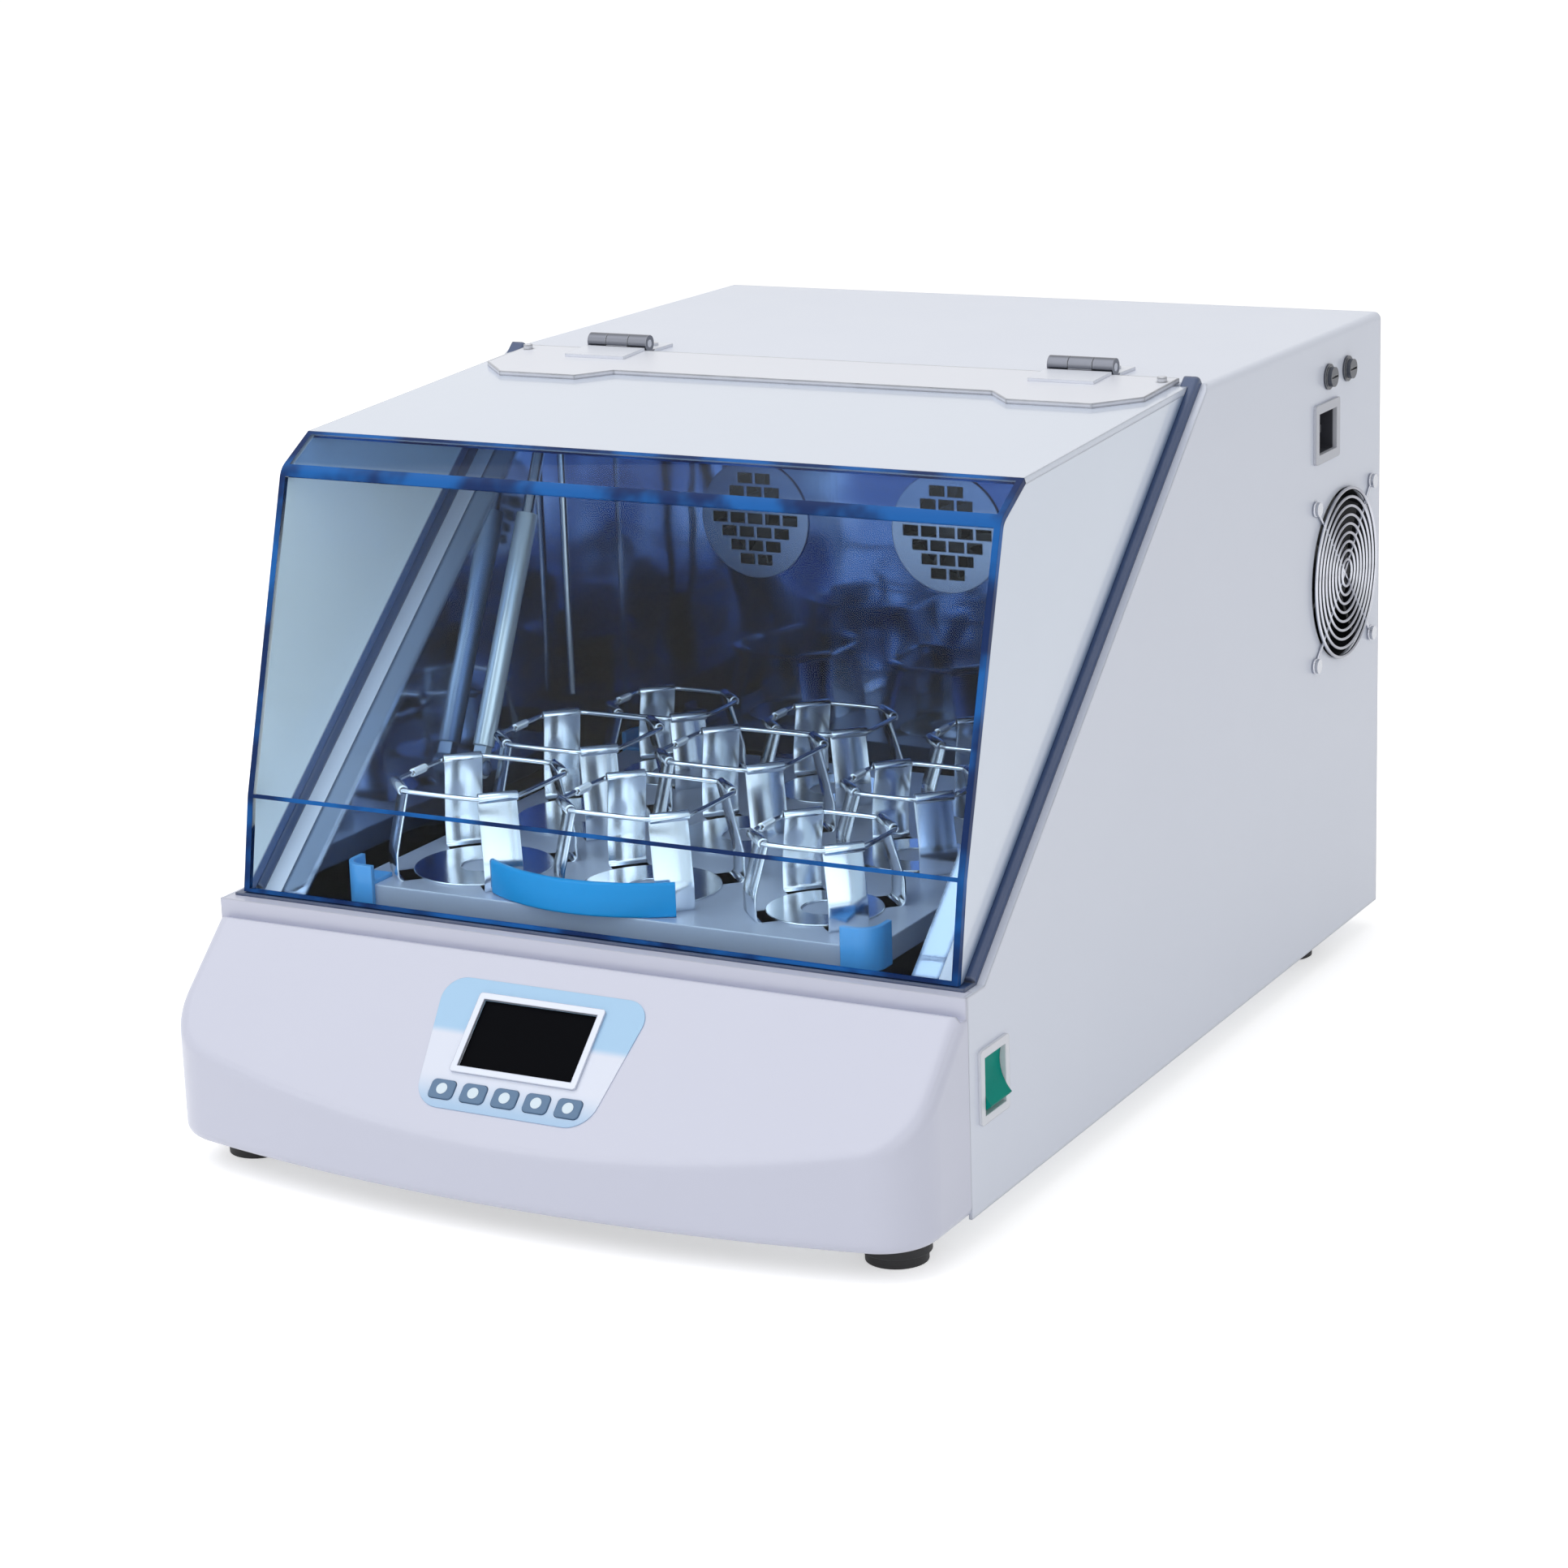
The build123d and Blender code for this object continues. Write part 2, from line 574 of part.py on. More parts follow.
# ---- Outer casing: one bent sheet for both sides and the top ----
SWITCH_BODY = (SWITCH_WIDTH + 2 * SWITCH_WALL, SWITCH_HEIGHT + 2 * SWITCH_WALL)
INLET_BODY = (INLET_WIDTH + 2 * INLET_WALL, INLET_HEIGHT + 2 * INLET_WALL)
with BuildPart() as outer_casing:
    with BuildSketch(Plane.XZ.offset(-CASE_REAR_Y)):
        with BuildLine():
            outer_bend = FilletPolyline(
                (-HALF_WIDTH, FOOT_HEIGHT),
                (-HALF_WIDTH, CASE_TOP_Z),
                (HALF_WIDTH, CASE_TOP_Z),
                (HALF_WIDTH, FOOT_HEIGHT),
                radius=CASE_BEND,
            )
            inner_bend = FilletPolyline(
                (-INNER_HALF, FOOT_HEIGHT),
                (-INNER_HALF, CASE_TOP_Z - SHEET),
                (INNER_HALF, CASE_TOP_Z - SHEET),
                (INNER_HALF, FOOT_HEIGHT),
                radius=CASE_BEND - SHEET,
            )
            Line(outer_bend @ 0, inner_bend @ 0)
            Line(outer_bend @ 1, inner_bend @ 1)
        make_face()
    extrude(amount=CASE_REAR_Y - CASE_FRONT_Y)
    side_shape(MOUTH_CLEARANCE, -CASE_WIDTH, CASE_WIDTH, mode=Mode.SUBTRACT)
    for side in SIDES.values():
        low, high = sorted((side * RIM_X, side * INNER_HALF))
        side_shape(mouth_band(0, MOUTH_LENGTH, -SHEET, 0), low, high)
        block((low, high), (LIP_BACK_Y, MOUTH_LOW_Y + SHEET), (SILL_Z - SHEET, SILL_Z))
        rear_edge = (side * INNER_HALF, side * (INNER_HALF - REAR_FLANGE))
        block(rear_edge, (CASE_REAR_Y - 2 * SHEET, CASE_REAR_Y - SHEET), (REAR_FLANGE_Z, CASE_TOP_Z - SHEET))
    block(
        (-INNER_HALF, INNER_HALF),
        (CASE_REAR_Y - 2 * SHEET, CASE_REAR_Y - SHEET),
        (CASE_TOP_Z - SHEET - REAR_FLANGE, CASE_TOP_Z - SHEET),
    )
    with BuildSketch(SIDE_FACE):
        with Locations((FAN_Y, FAN_Z)):
            Circle(FAN_BORE_RADIUS)
        with Locations(*FAN_SCREW_PLACES):
            Circle(FAN_SCREW_HOLE)
        with Locations(*[(y, FUSE_Z) for y in FUSE_Y]):
            Circle(FUSE_BODY_RADIUS)
        with Locations((SWITCH_Y, SWITCH_Z)):
            Rectangle(*SWITCH_BODY)
        with Locations((INLET_Y, INLET_Z)):
            Rectangle(*INLET_BODY)
    extrude(amount=-2 * SHEET, mode=Mode.SUBTRACT)
save(outer_casing.part, "outer_casing")

# ---- Rear panel with its cooling slots ----
PANEL_TOP_Z = CASE_TOP_Z - SHEET - PANEL_GAP
with BuildPart() as rear_panel:
    with BuildSketch(Plane.XZ.offset(-CASE_REAR_Y)):
        with Locations((0, (FOOT_HEIGHT + PANEL_TOP_Z) / 2)):
            RectangleRounded(2 * (INNER_HALF - PANEL_GAP), PANEL_TOP_Z - FOOT_HEIGHT, CASE_BEND)
    extrude(amount=SHEET)
    with BuildSketch(Plane.XZ.offset(-CASE_REAR_Y)):
        with Locations((0, VENT_Z)):
            with GridLocations(*VENT_PITCH, *VENT_COUNT):
                SlotOverall(*VENT_SLOT)
    extrude(amount=2 * SHEET, mode=Mode.SUBTRACT)
save(rear_panel.part, "rear_panel")


# ---- Front fascia ----
def fascia_plan(step, rear_y):
    """The fascia's outline seen from above, moved in by step: straight sides, round corners, bowed front."""
    half = HALF_WIDTH - step
    with BuildSketch() as plan:
        with BuildLine():
            sides = Polyline(
                (half, NOSE_Y + NOSE_BULGE + step),
                (half, rear_y),
                (-half, rear_y),
                (-half, NOSE_Y + NOSE_BULGE + step),
            )
            ThreePointArc(sides @ 0, (0, NOSE_Y + step), sides @ 1)
        make_face()
        fillet(plan.vertices().sort_by(Axis.Y)[:2], NOSE_CORNER - step)
    return plan.sketch


SLOPE_REACH = 150.0
SLOPE_FOOT_Y = SLOPE_TOP_Y - SLOPE_REACH * cos(SLOPE)
SLOPE_FOOT_Z = SLOPE_TOP_Z - SLOPE_REACH * sin(SLOPE)
WALL_DROP = FASCIA_WALL / cos(SLOPE)
CORE_TOP_Z = SLOPE_TOP_Z - GROOVE_DEPTH - FASCIA_WALL
CORE_LOW_Z = FOOT_HEIGHT + FASCIA_WALL + FASCIA_CORE_STEP
with BuildPart() as fascia_core:
    with BuildSketch(Plane.XY.offset(CORE_LOW_Z)):
        add(fascia_plan(FASCIA_WALL, CASE_FRONT_Y + FASCIA_WALL))
    extrude(amount=CORE_TOP_Z - CORE_LOW_Z)
    inner_slope = [
        (SLOPE_TOP_Y, SLOPE_TOP_Z - WALL_DROP),
        (SLOPE_FOOT_Y, SLOPE_FOOT_Z - WALL_DROP),
        (SLOPE_FOOT_Y, CASE_TOP_Z),
        (SLOPE_TOP_Y, CASE_TOP_Z),
    ]
    side_shape(inner_slope, -CASE_WIDTH, CASE_WIDTH, mode=Mode.SUBTRACT)

WINDOW = (SCREEN_WIDTH + 2 * WINDOW_MARGIN, SCREEN_HEIGHT + 2 * WINDOW_MARGIN)
BOSS_X = BOARD_WIDTH / 2 - BOSS_INSET
BOSS_S = BOARD_LENGTH / 2 - BOSS_INSET
BOSS_PLACES = [(x, -BOARD_S + s) for x in (-BOSS_X, BOSS_X) for s in (-BOSS_S, BOSS_S)]
with BuildPart() as front_fascia:
    with BuildSketch(Plane.XY.offset(FOOT_HEIGHT)):
        add(fascia_plan(0, CASE_FRONT_Y))
    extrude(amount=SLOPE_TOP_Z - FOOT_HEIGHT)
    slope_cut = [
        (SLOPE_TOP_Y, SLOPE_TOP_Z),
        (SLOPE_FOOT_Y, SLOPE_FOOT_Z),
        (SLOPE_FOOT_Y, CASE_TOP_Z),
        (SLOPE_TOP_Y, CASE_TOP_Z),
    ]
    side_shape(slope_cut, -CASE_WIDTH, CASE_WIDTH, mode=Mode.SUBTRACT)
    slope_face = front_fascia.faces().filter_by(lambda f: abs(f.normal_at().Z - cos(SLOPE)) < TURN_TOLERANCE)
    fillet(slope_face.edges().sort_by(Axis.Y)[:-1], CREASE_FILLET)
    under_face = front_fascia.faces().sort_by(Axis.Z)[0]
    fillet(under_face.edges().sort_by(Axis.Y)[:-1], NOSE_BOTTOM_FILLET)
    groove = (LIP_FRONT_Y - GROOVE_WIDTH, LIP_FRONT_Y)
    block((-HALF_WIDTH, HALF_WIDTH), groove, (SLOPE_TOP_Z - GROOVE_DEPTH, SLOPE_TOP_Z), mode=Mode.SUBTRACT)
    block((-HALF_WIDTH, HALF_WIDTH), (LIP_FRONT_Y, CASE_FRONT_Y), (SLOPE_TOP_Z - GROOVE_DEPTH, SILL_Z))
    add(fascia_core.part, mode=Mode.SUBTRACT)
    with BuildSketch(Plane.XY.offset(FOOT_HEIGHT)):
        add(fascia_plan(FASCIA_RETURN, CASE_FRONT_Y))
    extrude(amount=CORE_LOW_Z - FOOT_HEIGHT, mode=Mode.SUBTRACT)
    block((-INNER_HALF, INNER_HALF), (CASE_FRONT_Y, CASE_FRONT_Y + SHEET), (CORE_TOP_Z, SILL_Z))
    block((-INNER_HALF, INNER_HALF), (CASE_FRONT_Y, LIP_BACK_Y), (SILL_Z - FASCIA_WALL, SILL_Z))
    with BuildSketch(CONTROL_FACE):
        with Locations((0, -SCREEN_S)):
            Rectangle(*WINDOW)
        with Locations(*KEY_PLACES):
            RectangleRounded(
                KEY_WIDTH + 2 * KEY_CLEARANCE,
                KEY_LENGTH + 2 * KEY_CLEARANCE,
                KEY_CORNER + KEY_CLEARANCE,
            )
    extrude(amount=-BOARD_DEPTH, mode=Mode.SUBTRACT)
    with BuildSketch(CONTROL_FACE.offset(-FASCIA_WALL)):
        with Locations(*BOSS_PLACES):
            Circle(BOSS_RADIUS)
    extrude(amount=FASCIA_WALL - BOARD_DEPTH)
save(front_fascia.part, "front_fascia")

# ---- Control overlay, display and keys ----
with BuildPart() as control_overlay:
    with BuildSketch(CONTROL_FACE) as overlay_face:
        with BuildLine():
            Polyline(
                (-OVERLAY_TOP_HALF, -OVERLAY_TOP_S),
                (OVERLAY_TOP_HALF, -OVERLAY_TOP_S),
                (OVERLAY_LOW_HALF, -OVERLAY_LOW_S),
                (-OVERLAY_LOW_HALF, -OVERLAY_LOW_S),
                close=True,
            )
        make_face()
        fillet(overlay_face.vertices().group_by(Axis.Y)[-1], OVERLAY_TOP_RADIUS)
        fillet(overlay_face.vertices().group_by(Axis.Y)[0], OVERLAY_LOW_RADIUS)
        with Locations((0, -SCREEN_S)):
            Rectangle(SCREEN_WIDTH, SCREEN_HEIGHT, mode=Mode.SUBTRACT)
        with Locations(*KEY_PLACES):
            RectangleRounded(
                KEY_WIDTH + 2 * KEY_CLEARANCE,
                KEY_LENGTH + 2 * KEY_CLEARANCE,
                KEY_CORNER + KEY_CLEARANCE,
                mode=Mode.SUBTRACT,
            )
    extrude(amount=OVERLAY_THICKNESS)
save(control_overlay.part, "control_overlay")

BEZEL_SIZE = (SCREEN_WIDTH + 2 * BEZEL_BORDER, SCREEN_HEIGHT + 2 * BEZEL_BORDER)
with BuildPart() as display_bezel:
    with BuildSketch(CONTROL_FACE.offset(OVERLAY_THICKNESS)):
        with Locations((0, -SCREEN_S)):
            RectangleRounded(*BEZEL_SIZE, BEZEL_BORDER / 2)
            Rectangle(SCREEN_WIDTH, SCREEN_HEIGHT, mode=Mode.SUBTRACT)
    extrude(amount=BEZEL_HEIGHT)
save(display_bezel.part, "display_bezel")

CONTACT_TOP = FASCIA_WALL + KEY_CLEARANCE + KEY_FLANGE_THICKNESS + KEY_TRAVEL + KEY_CLEARANCE
with BuildPart() as display_module:
    with BuildSketch(CONTROL_FACE.offset(-BOARD_DEPTH)):
        with Locations((0, -SCREEN_S)):
            Rectangle(WINDOW[0] - 2 * KEY_CLEARANCE, WINDOW[1] - 2 * KEY_CLEARANCE)
    extrude(amount=BOARD_DEPTH)
    with BuildSketch(CONTROL_FACE.offset(-BOARD_DEPTH)):
        with Locations((0, -BOARD_S)):
            Rectangle(BOARD_WIDTH, BOARD_LENGTH)
    extrude(amount=-BOARD_THICKNESS)
    with BuildSketch(CONTROL_FACE.offset(-BOARD_DEPTH)):
        with Locations(*KEY_PLACES):
            Rectangle(CONTACT_SIZE, CONTACT_SIZE)
    extrude(amount=BOARD_DEPTH - CONTACT_TOP)
save(display_module.part, "display_module")

FLANGE_TOP = FASCIA_WALL + KEY_CLEARANCE
for number, place in enumerate(KEY_PLACES, start=1):
    with BuildPart() as key:
        with BuildSketch(CONTROL_FACE.offset(-FLANGE_TOP)):
            with Locations(place):
                RectangleRounded(KEY_WIDTH, KEY_LENGTH, KEY_CORNER)
        extrude(amount=FLANGE_TOP + OVERLAY_THICKNESS + KEY_PROUD)
        key_edge = key.faces().sort_by(Axis.Z)[-1].edges()
        fillet(key_edge, KEY_PROUD / 2)
        with BuildSketch(CONTROL_FACE.offset(-FLANGE_TOP)):
            with Locations(place):
                Rectangle(KEY_WIDTH + 2 * KEY_FLANGE, KEY_LENGTH + 2 * KEY_FLANGE)
        extrude(amount=-KEY_FLANGE_THICKNESS)
    save(key.part, f"key_{number}")

# ---- Chamber liner: a bright sheet-metal box with a rim round its mouth ----
BACK_WALL = Plane.XZ.offset(-CHAMBER_BACK_Y)
STUD_REACH = CHAMBER_HALF - STRUT_X + STRUT_EYE_WIDTH / 2 + STRUT_GAP
with BuildPart() as chamber_liner:
    block(
        (-CHAMBER_HALF - LINER, CHAMBER_HALF + LINER),
        (CHAMBER_FRONT_Y - LINER, CHAMBER_BACK_Y + LINER),
        (CHAMBER_FLOOR_Z - LINER, CHAMBER_CEILING_Z + LINER),
    )
    block(
        (-CHAMBER_HALF, CHAMBER_HALF),
        (CHAMBER_FRONT_Y, CHAMBER_BACK_Y),
        (CHAMBER_FLOOR_Z, CHAMBER_CEILING_Z),
        mode=Mode.SUBTRACT,
    )
    side_shape(MOUTH_CLEARANCE, -CASE_WIDTH, CASE_WIDTH, mode=Mode.SUBTRACT)
    rim_top = mouth_at_height(CASE_TOP_Z - SHEET)
    for side in SIDES.values():
        low, high = sorted((side * CHAMBER_HALF, side * RIM_X))
        side_shape(mouth_band(0, rim_top, -LINER, 0), low, high)
        block((low, high), (LIP_BACK_Y, MOUTH_LOW_Y + LINER), (SILL_Z - LINER, SILL_Z))
        low, high = sorted((side * CHAMBER_HALF, side * (CHAMBER_HALF - STUD_REACH)))
        cross_round(STRUT_LOW, STRUT_STUD_RADIUS, low, high)
        head_inner = CHAMBER_HALF - STUD_REACH - STRUT_HEAD_THICKNESS
        low, high = sorted((side * (CHAMBER_HALF - STUD_REACH), side * head_inner))
        cross_round(STRUT_LOW, STRUT_STUD_HEAD, low, high)
    block((-CHAMBER_HALF, CHAMBER_HALF), (LIP_BACK_Y, CHAMBER_FRONT_Y), (SILL_Z - LINER, SILL_Z))
    ceiling_edge = mouth_at_height(CHAMBER_CEILING_Z)
    side_shape(mouth_band(ceiling_edge, rim_top, -LINER, 0), -CHAMBER_HALF, CHAMBER_HALF)
    hole_low_z = CHAMBER_FLOOR_Z - 2 * LINER
    upright([(0, DRIVE_Y)], MAIN_FLOOR_HOLE, hole_low_z, CHAMBER_FLOOR_Z, mode=Mode.SUBTRACT)
    upright(IDLER_PLACES, IDLER_FLOOR_HOLE, CHAMBER_FLOOR_Z - 2 * LINER, CHAMBER_FLOOR_Z, mode=Mode.SUBTRACT)
    with BuildSketch(BACK_WALL):
        with Locations(*[(x, BLOWER_Z) for x in BLOWER_X]):
            Circle(BLOWER_HOLE_RADIUS)
    extrude(amount=-2 * LINER, mode=Mode.SUBTRACT)
save(chamber_liner.part, "chamber_liner")

# ---- Lid gasket on the rim ----
with BuildPart() as lid_gasket:
    for side in SIDES.values():
        low, high = sorted((side * GASKET_INNER_X, side * (GASKET_INNER_X + GASKET_WIDTH)))
        side_shape(mouth_band(0, MOUTH_LENGTH, 0, GASKET_HEIGHT), low, high)
    out_of_mouth = Vector(0, -sin(MOUTH_ANGLE), cos(MOUTH_ANGLE))
    tops = lid_gasket.faces().filter_by(lambda f: (f.normal_at() - out_of_mouth).length < TURN_TOLERANCE)
    fillet([e for f in tops for e in f.edges().sort_by(SortBy.LENGTH)[-2:]], GASKET_ROUND)
    sill_half = GASKET_INNER_X + GASKET_WIDTH
    sill_y = (LIP_BACK_Y - GASKET_SILL_WIDTH / 2, LIP_BACK_Y + GASKET_SILL_WIDTH / 2)
    sill_z = (SILL_Z, SILL_Z + GASKET_SILL_HEIGHT)
    block((-sill_half, sill_half), sill_y, sill_z)
    for side in SIDES.values():
        block((side * GASKET_INNER_X, side * sill_half), (sill_y[0], MOUTH_LOW_Y), sill_z)
    top_end = MOUTH_LENGTH - GASKET_TOP_INSET
    side_shape(mouth_band(top_end - GASKET_TOP_WIDTH, top_end, 0, GASKET_TOP_HEIGHT), -RIM_X, RIM_X)
save(lid_gasket.part, "lid_gasket")

# ---- Insulation between the chamber and the casing ----
with BuildPart() as insulation_panels:
    low_z = CHAMBER_FLOOR_Z
    top_z = CHAMBER_CEILING_Z
    front = INSULATION_FRONT_Y
    edge = shifted(mouth(0), mouth(MOUTH_LENGTH), -INSULATION_UNDER_MOUTH)
    front_corner = crossing(*edge, (front, low_z), (front, top_z))
    top_corner = crossing(*edge, (front, top_z), (INSULATION_BACK_Y, top_z))
    slab = [
        (front, low_z),
        (INSULATION_BACK_Y, low_z),
        (INSULATION_BACK_Y, top_z),
        top_corner,
        front_corner,
    ]
    wall_x = CHAMBER_HALF + LINER
    side_shape(slab, wall_x, wall_x + INSULATION)
    side_shape(slab, -wall_x - INSULATION, -wall_x)
    block(
        (-REAR_INSULATION_HALF, REAR_INSULATION_HALF),
        (CASE_REAR_Y - SHEET - REAR_INSULATION, CASE_REAR_Y - SHEET),
        (REAR_INSULATION_LOW_Z, REAR_INSULATION_TOP_Z),
    )
save(insulation_panels.part, "insulation_panels")

# ---- Circulation fans: grilles, impellers and their motors ----
GRILLE_PITCH = (GRILLE_SLOT[0] + GRILLE_BAR, GRILLE_SLOT[1] + GRILLE_BAR)
GRILLE_ROWS = int(GRILLE_RADIUS / GRILLE_PITCH[1])
GRILLE_SLOTS = []
for row in range(-GRILLE_ROWS, GRILLE_ROWS + 1):
    for column in range(-GRILLE_ROWS, GRILLE_ROWS + 1):
        across = (column + (row % 2) / 2) * GRILLE_PITCH[0]
        up = row * GRILLE_PITCH[1]
        far_corner = hypot(abs(across) + GRILLE_SLOT[0] / 2, abs(up) + GRILLE_SLOT[1] / 2)
        if far_corner < GRILLE_RADIUS - GRILLE_BORDER:
            GRILLE_SLOTS.append((across, up))
with BuildPart() as fan_grilles:
    with BuildSketch(BACK_WALL):
        with Locations(*[(x, BLOWER_Z) for x in BLOWER_X]):
            Circle(GRILLE_RADIUS)
        with Locations(*[(x + a, BLOWER_Z + u) for x in BLOWER_X for a, u in GRILLE_SLOTS]):
            Rectangle(*GRILLE_SLOT, mode=Mode.SUBTRACT)
    extrude(amount=GRILLE_THICKNESS)
save(fan_grilles.part, "fan_grilles")

IMPELLER_BACK_Y = IMPELLER_Y + IMPELLER_WIDTH
BRACKET_Y = IMPELLER_BACK_Y + BLOWER_BRACKET
BLOWER_BACK_Y = BRACKET_Y + BLOWER_BRACKET
with BuildPart() as blower_motors:
    for x in BLOWER_X:
        reach = (x - BLOWER_BRACKET_REACH, x + BLOWER_BRACKET_REACH)
        band = (BLOWER_Z - BLOWER_BRACKET_WIDTH / 2, BLOWER_Z + BLOWER_BRACKET_WIDTH / 2)
        block(reach, (BRACKET_Y, BLOWER_BACK_Y), band)
        for end, step in ((reach[0], BLOWER_BRACKET), (reach[1], -BLOWER_BRACKET)):
            block((end, end + step), (CHAMBER_BACK_Y + LINER, BRACKET_Y), band)
        with BuildSketch(Plane.XZ.offset(-BLOWER_BACK_Y)):
            with Locations((x, BLOWER_Z)):
                Circle(BLOWER_MOTOR_RADIUS)
        extrude(amount=-BLOWER_MOTOR_LENGTH)
        with BuildSketch(Plane.XZ.offset(-BRACKET_Y)):
            with Locations((x, BLOWER_Z)):
                Circle(BLOWER_SHAFT_RADIUS + BLOWER_SHAFT_CLEARANCE)
        extrude(amount=-BLOWER_BRACKET - BLOWER_SHAFT_REACH, mode=Mode.SUBTRACT)
save(blower_motors.part, "blower_motors")

for (name, _), x in zip(SIDES.items(), BLOWER_X):
    with BuildPart() as impeller:
        with BuildSketch(Plane.XZ.offset(-IMPELLER_BACK_Y)):
            with Locations((x, BLOWER_Z)):
                Circle(IMPELLER_RADIUS)
        extrude(amount=IMPELLER_DISC)
        with BuildSketch(Plane.XZ.offset(-IMPELLER_BACK_Y)):
            with Locations((x, BLOWER_Z)):
                Circle(IMPELLER_HUB)
                with PolarLocations((IMPELLER_BLADE_START + IMPELLER_RADIUS) / 2, IMPELLER_BLADES):
                    Rectangle(IMPELLER_RADIUS - IMPELLER_BLADE_START, IMPELLER_BLADE)
        extrude(amount=IMPELLER_WIDTH)
        with BuildSketch(Plane.XZ.offset(-IMPELLER_BACK_Y)):
            with Locations((x, BLOWER_Z)):
                Circle(BLOWER_SHAFT_RADIUS)
        extrude(amount=-2 * BLOWER_BRACKET - BLOWER_SHAFT_REACH + STRUT_GAP)
    save(impeller.part, f"impeller_{name}")

# ---- Heater behind the back wall, and the temperature probe in the chamber ----
HEATER_Y = CHAMBER_BACK_Y + LINER + HEATER_TUBE
HEATER_POINTS = []
for run in range(HEATER_RUNS):
    z = HEATER_LOW_Z + run * HEATER_PITCH
    ends = (-HEATER_HALF_WIDTH, HEATER_HALF_WIDTH)
    ends = ends if run % 2 == 0 else ends[::-1]
    HEATER_POINTS += [(ends[0], HEATER_Y, z), (ends[1], HEATER_Y, z)]
with BuildPart() as heater_coil:
    with BuildLine() as heater_path:
        FilletPolyline(*HEATER_POINTS, radius=HEATER_BEND)
    with BuildSketch(Plane(origin=HEATER_POINTS[0], z_dir=(1, 0, 0))):
        Circle(HEATER_TUBE)
    sweep(path=heater_path.wires()[0])
save(heater_coil.part, "heater_coil")

with BuildPart() as temperature_probe:
    upright([(PROBE_X, PROBE_Y)], PROBE_RADIUS, PROBE_TOP_Z - PROBE_LENGTH, PROBE_TOP_Z)
    cross_round((PROBE_Y, PROBE_TOP_Z), PROBE_RADIUS, -CHAMBER_HALF, PROBE_X)
    with Locations((PROBE_X, PROBE_Y, PROBE_TOP_Z)):
        Sphere(PROBE_RADIUS)
    with BuildSketch(Plane.YZ.offset(-CHAMBER_HALF)):
        with Locations((PROBE_Y, PROBE_TOP_Z)):
            RegularPolygon(PROBE_NUT_RADIUS, HEX_SIDES)
    extrude(amount=PROBE_NUT)
save(temperature_probe.part, "temperature_probe")

# ---- Lid: top panel, clear hood and side panels ----
SEAT_TOP_OUTER = crossing(*LID_SEAT, LID_BACK, LID_BROW)
SEAT_TOP_INNER = crossing(*LID_SEAT, LID_INSIDE[0], LID_INSIDE[1])
SEAT_LOW = crossing(*LID_SEAT, LID_HEM, (0, LID_HEM[1]))
HEM_INNER = crossing(LID_INSIDE[3], LID_INSIDE[4], LID_HEM, (0, LID_HEM[1]))
with BuildPart() as lid_top_panel:
    side_shape([SEAT_TOP_OUTER, LID_BROW, LID_INSIDE[1], SEAT_TOP_INNER], -LID_HALF, LID_HALF)
save(lid_top_panel.part, "lid_top_panel")

HOOD_OUTLINE = [LID_BROW, LID_BEVEL, LID_KNEE, LID_HEM, HEM_INNER, *LID_INSIDE[3:0:-1]]
with BuildPart() as lid_front_hood:
    side_shape(HOOD_OUTLINE, -LID_HALF, LID_HALF)
save(lid_front_hood.part, "lid_front_hood")

SIDE_OUTLINE = [SEAT_TOP_INNER, *LID_INSIDE[1:4], HEM_INNER, SEAT_LOW]
for name, side in SIDES.items():
    with BuildPart() as lid_side:
        low, high = sorted((side * LID_INNER_HALF, side * LID_HALF))
        side_shape(SIDE_OUTLINE, low, high)
    save(lid_side.part, f"lid_side_{name}")

# ---- Hinge strip along the back of the lid ----
STRIP_HALF_OUTLINE = [
    (STRIP_STEP_X, STRIP_FRONT_Y),
    (STRIP_EAR_X, STRIP_EAR_FRONT_Y),
    (STRIP_HALF - STRIP_CORNER_CUT, STRIP_EAR_FRONT_Y),
    (STRIP_HALF, STRIP_EAR_FRONT_Y + STRIP_CORNER_CUT),
    (STRIP_HALF, STRIP_BACK_Y),
]
STRIP_OUTLINE = [(x, y - LID_BACK[0]) for x, y in STRIP_HALF_OUTLINE]
STRIP_OUTLINE += [(-x, y) for x, y in reversed(STRIP_OUTLINE)]
with BuildPart() as hinge_strip:
    with BuildSketch(LID_TOP_FACE):
        with BuildLine():
            Polyline(*STRIP_OUTLINE, close=True)
        make_face()
    extrude(amount=STRIP_THICKNESS)
    with BuildSketch(LID_TOP_FACE.offset(STRIP_THICKNESS)):
        with Locations((-RIVET_X, RIVET_Y - LID_BACK[0]), (RIVET_X, RIVET_Y - LID_BACK[0])):
            Circle(RIVET_RADIUS)
    extrude(amount=RIVET_HEIGHT)
save(hinge_strip.part, "hinge_strip")


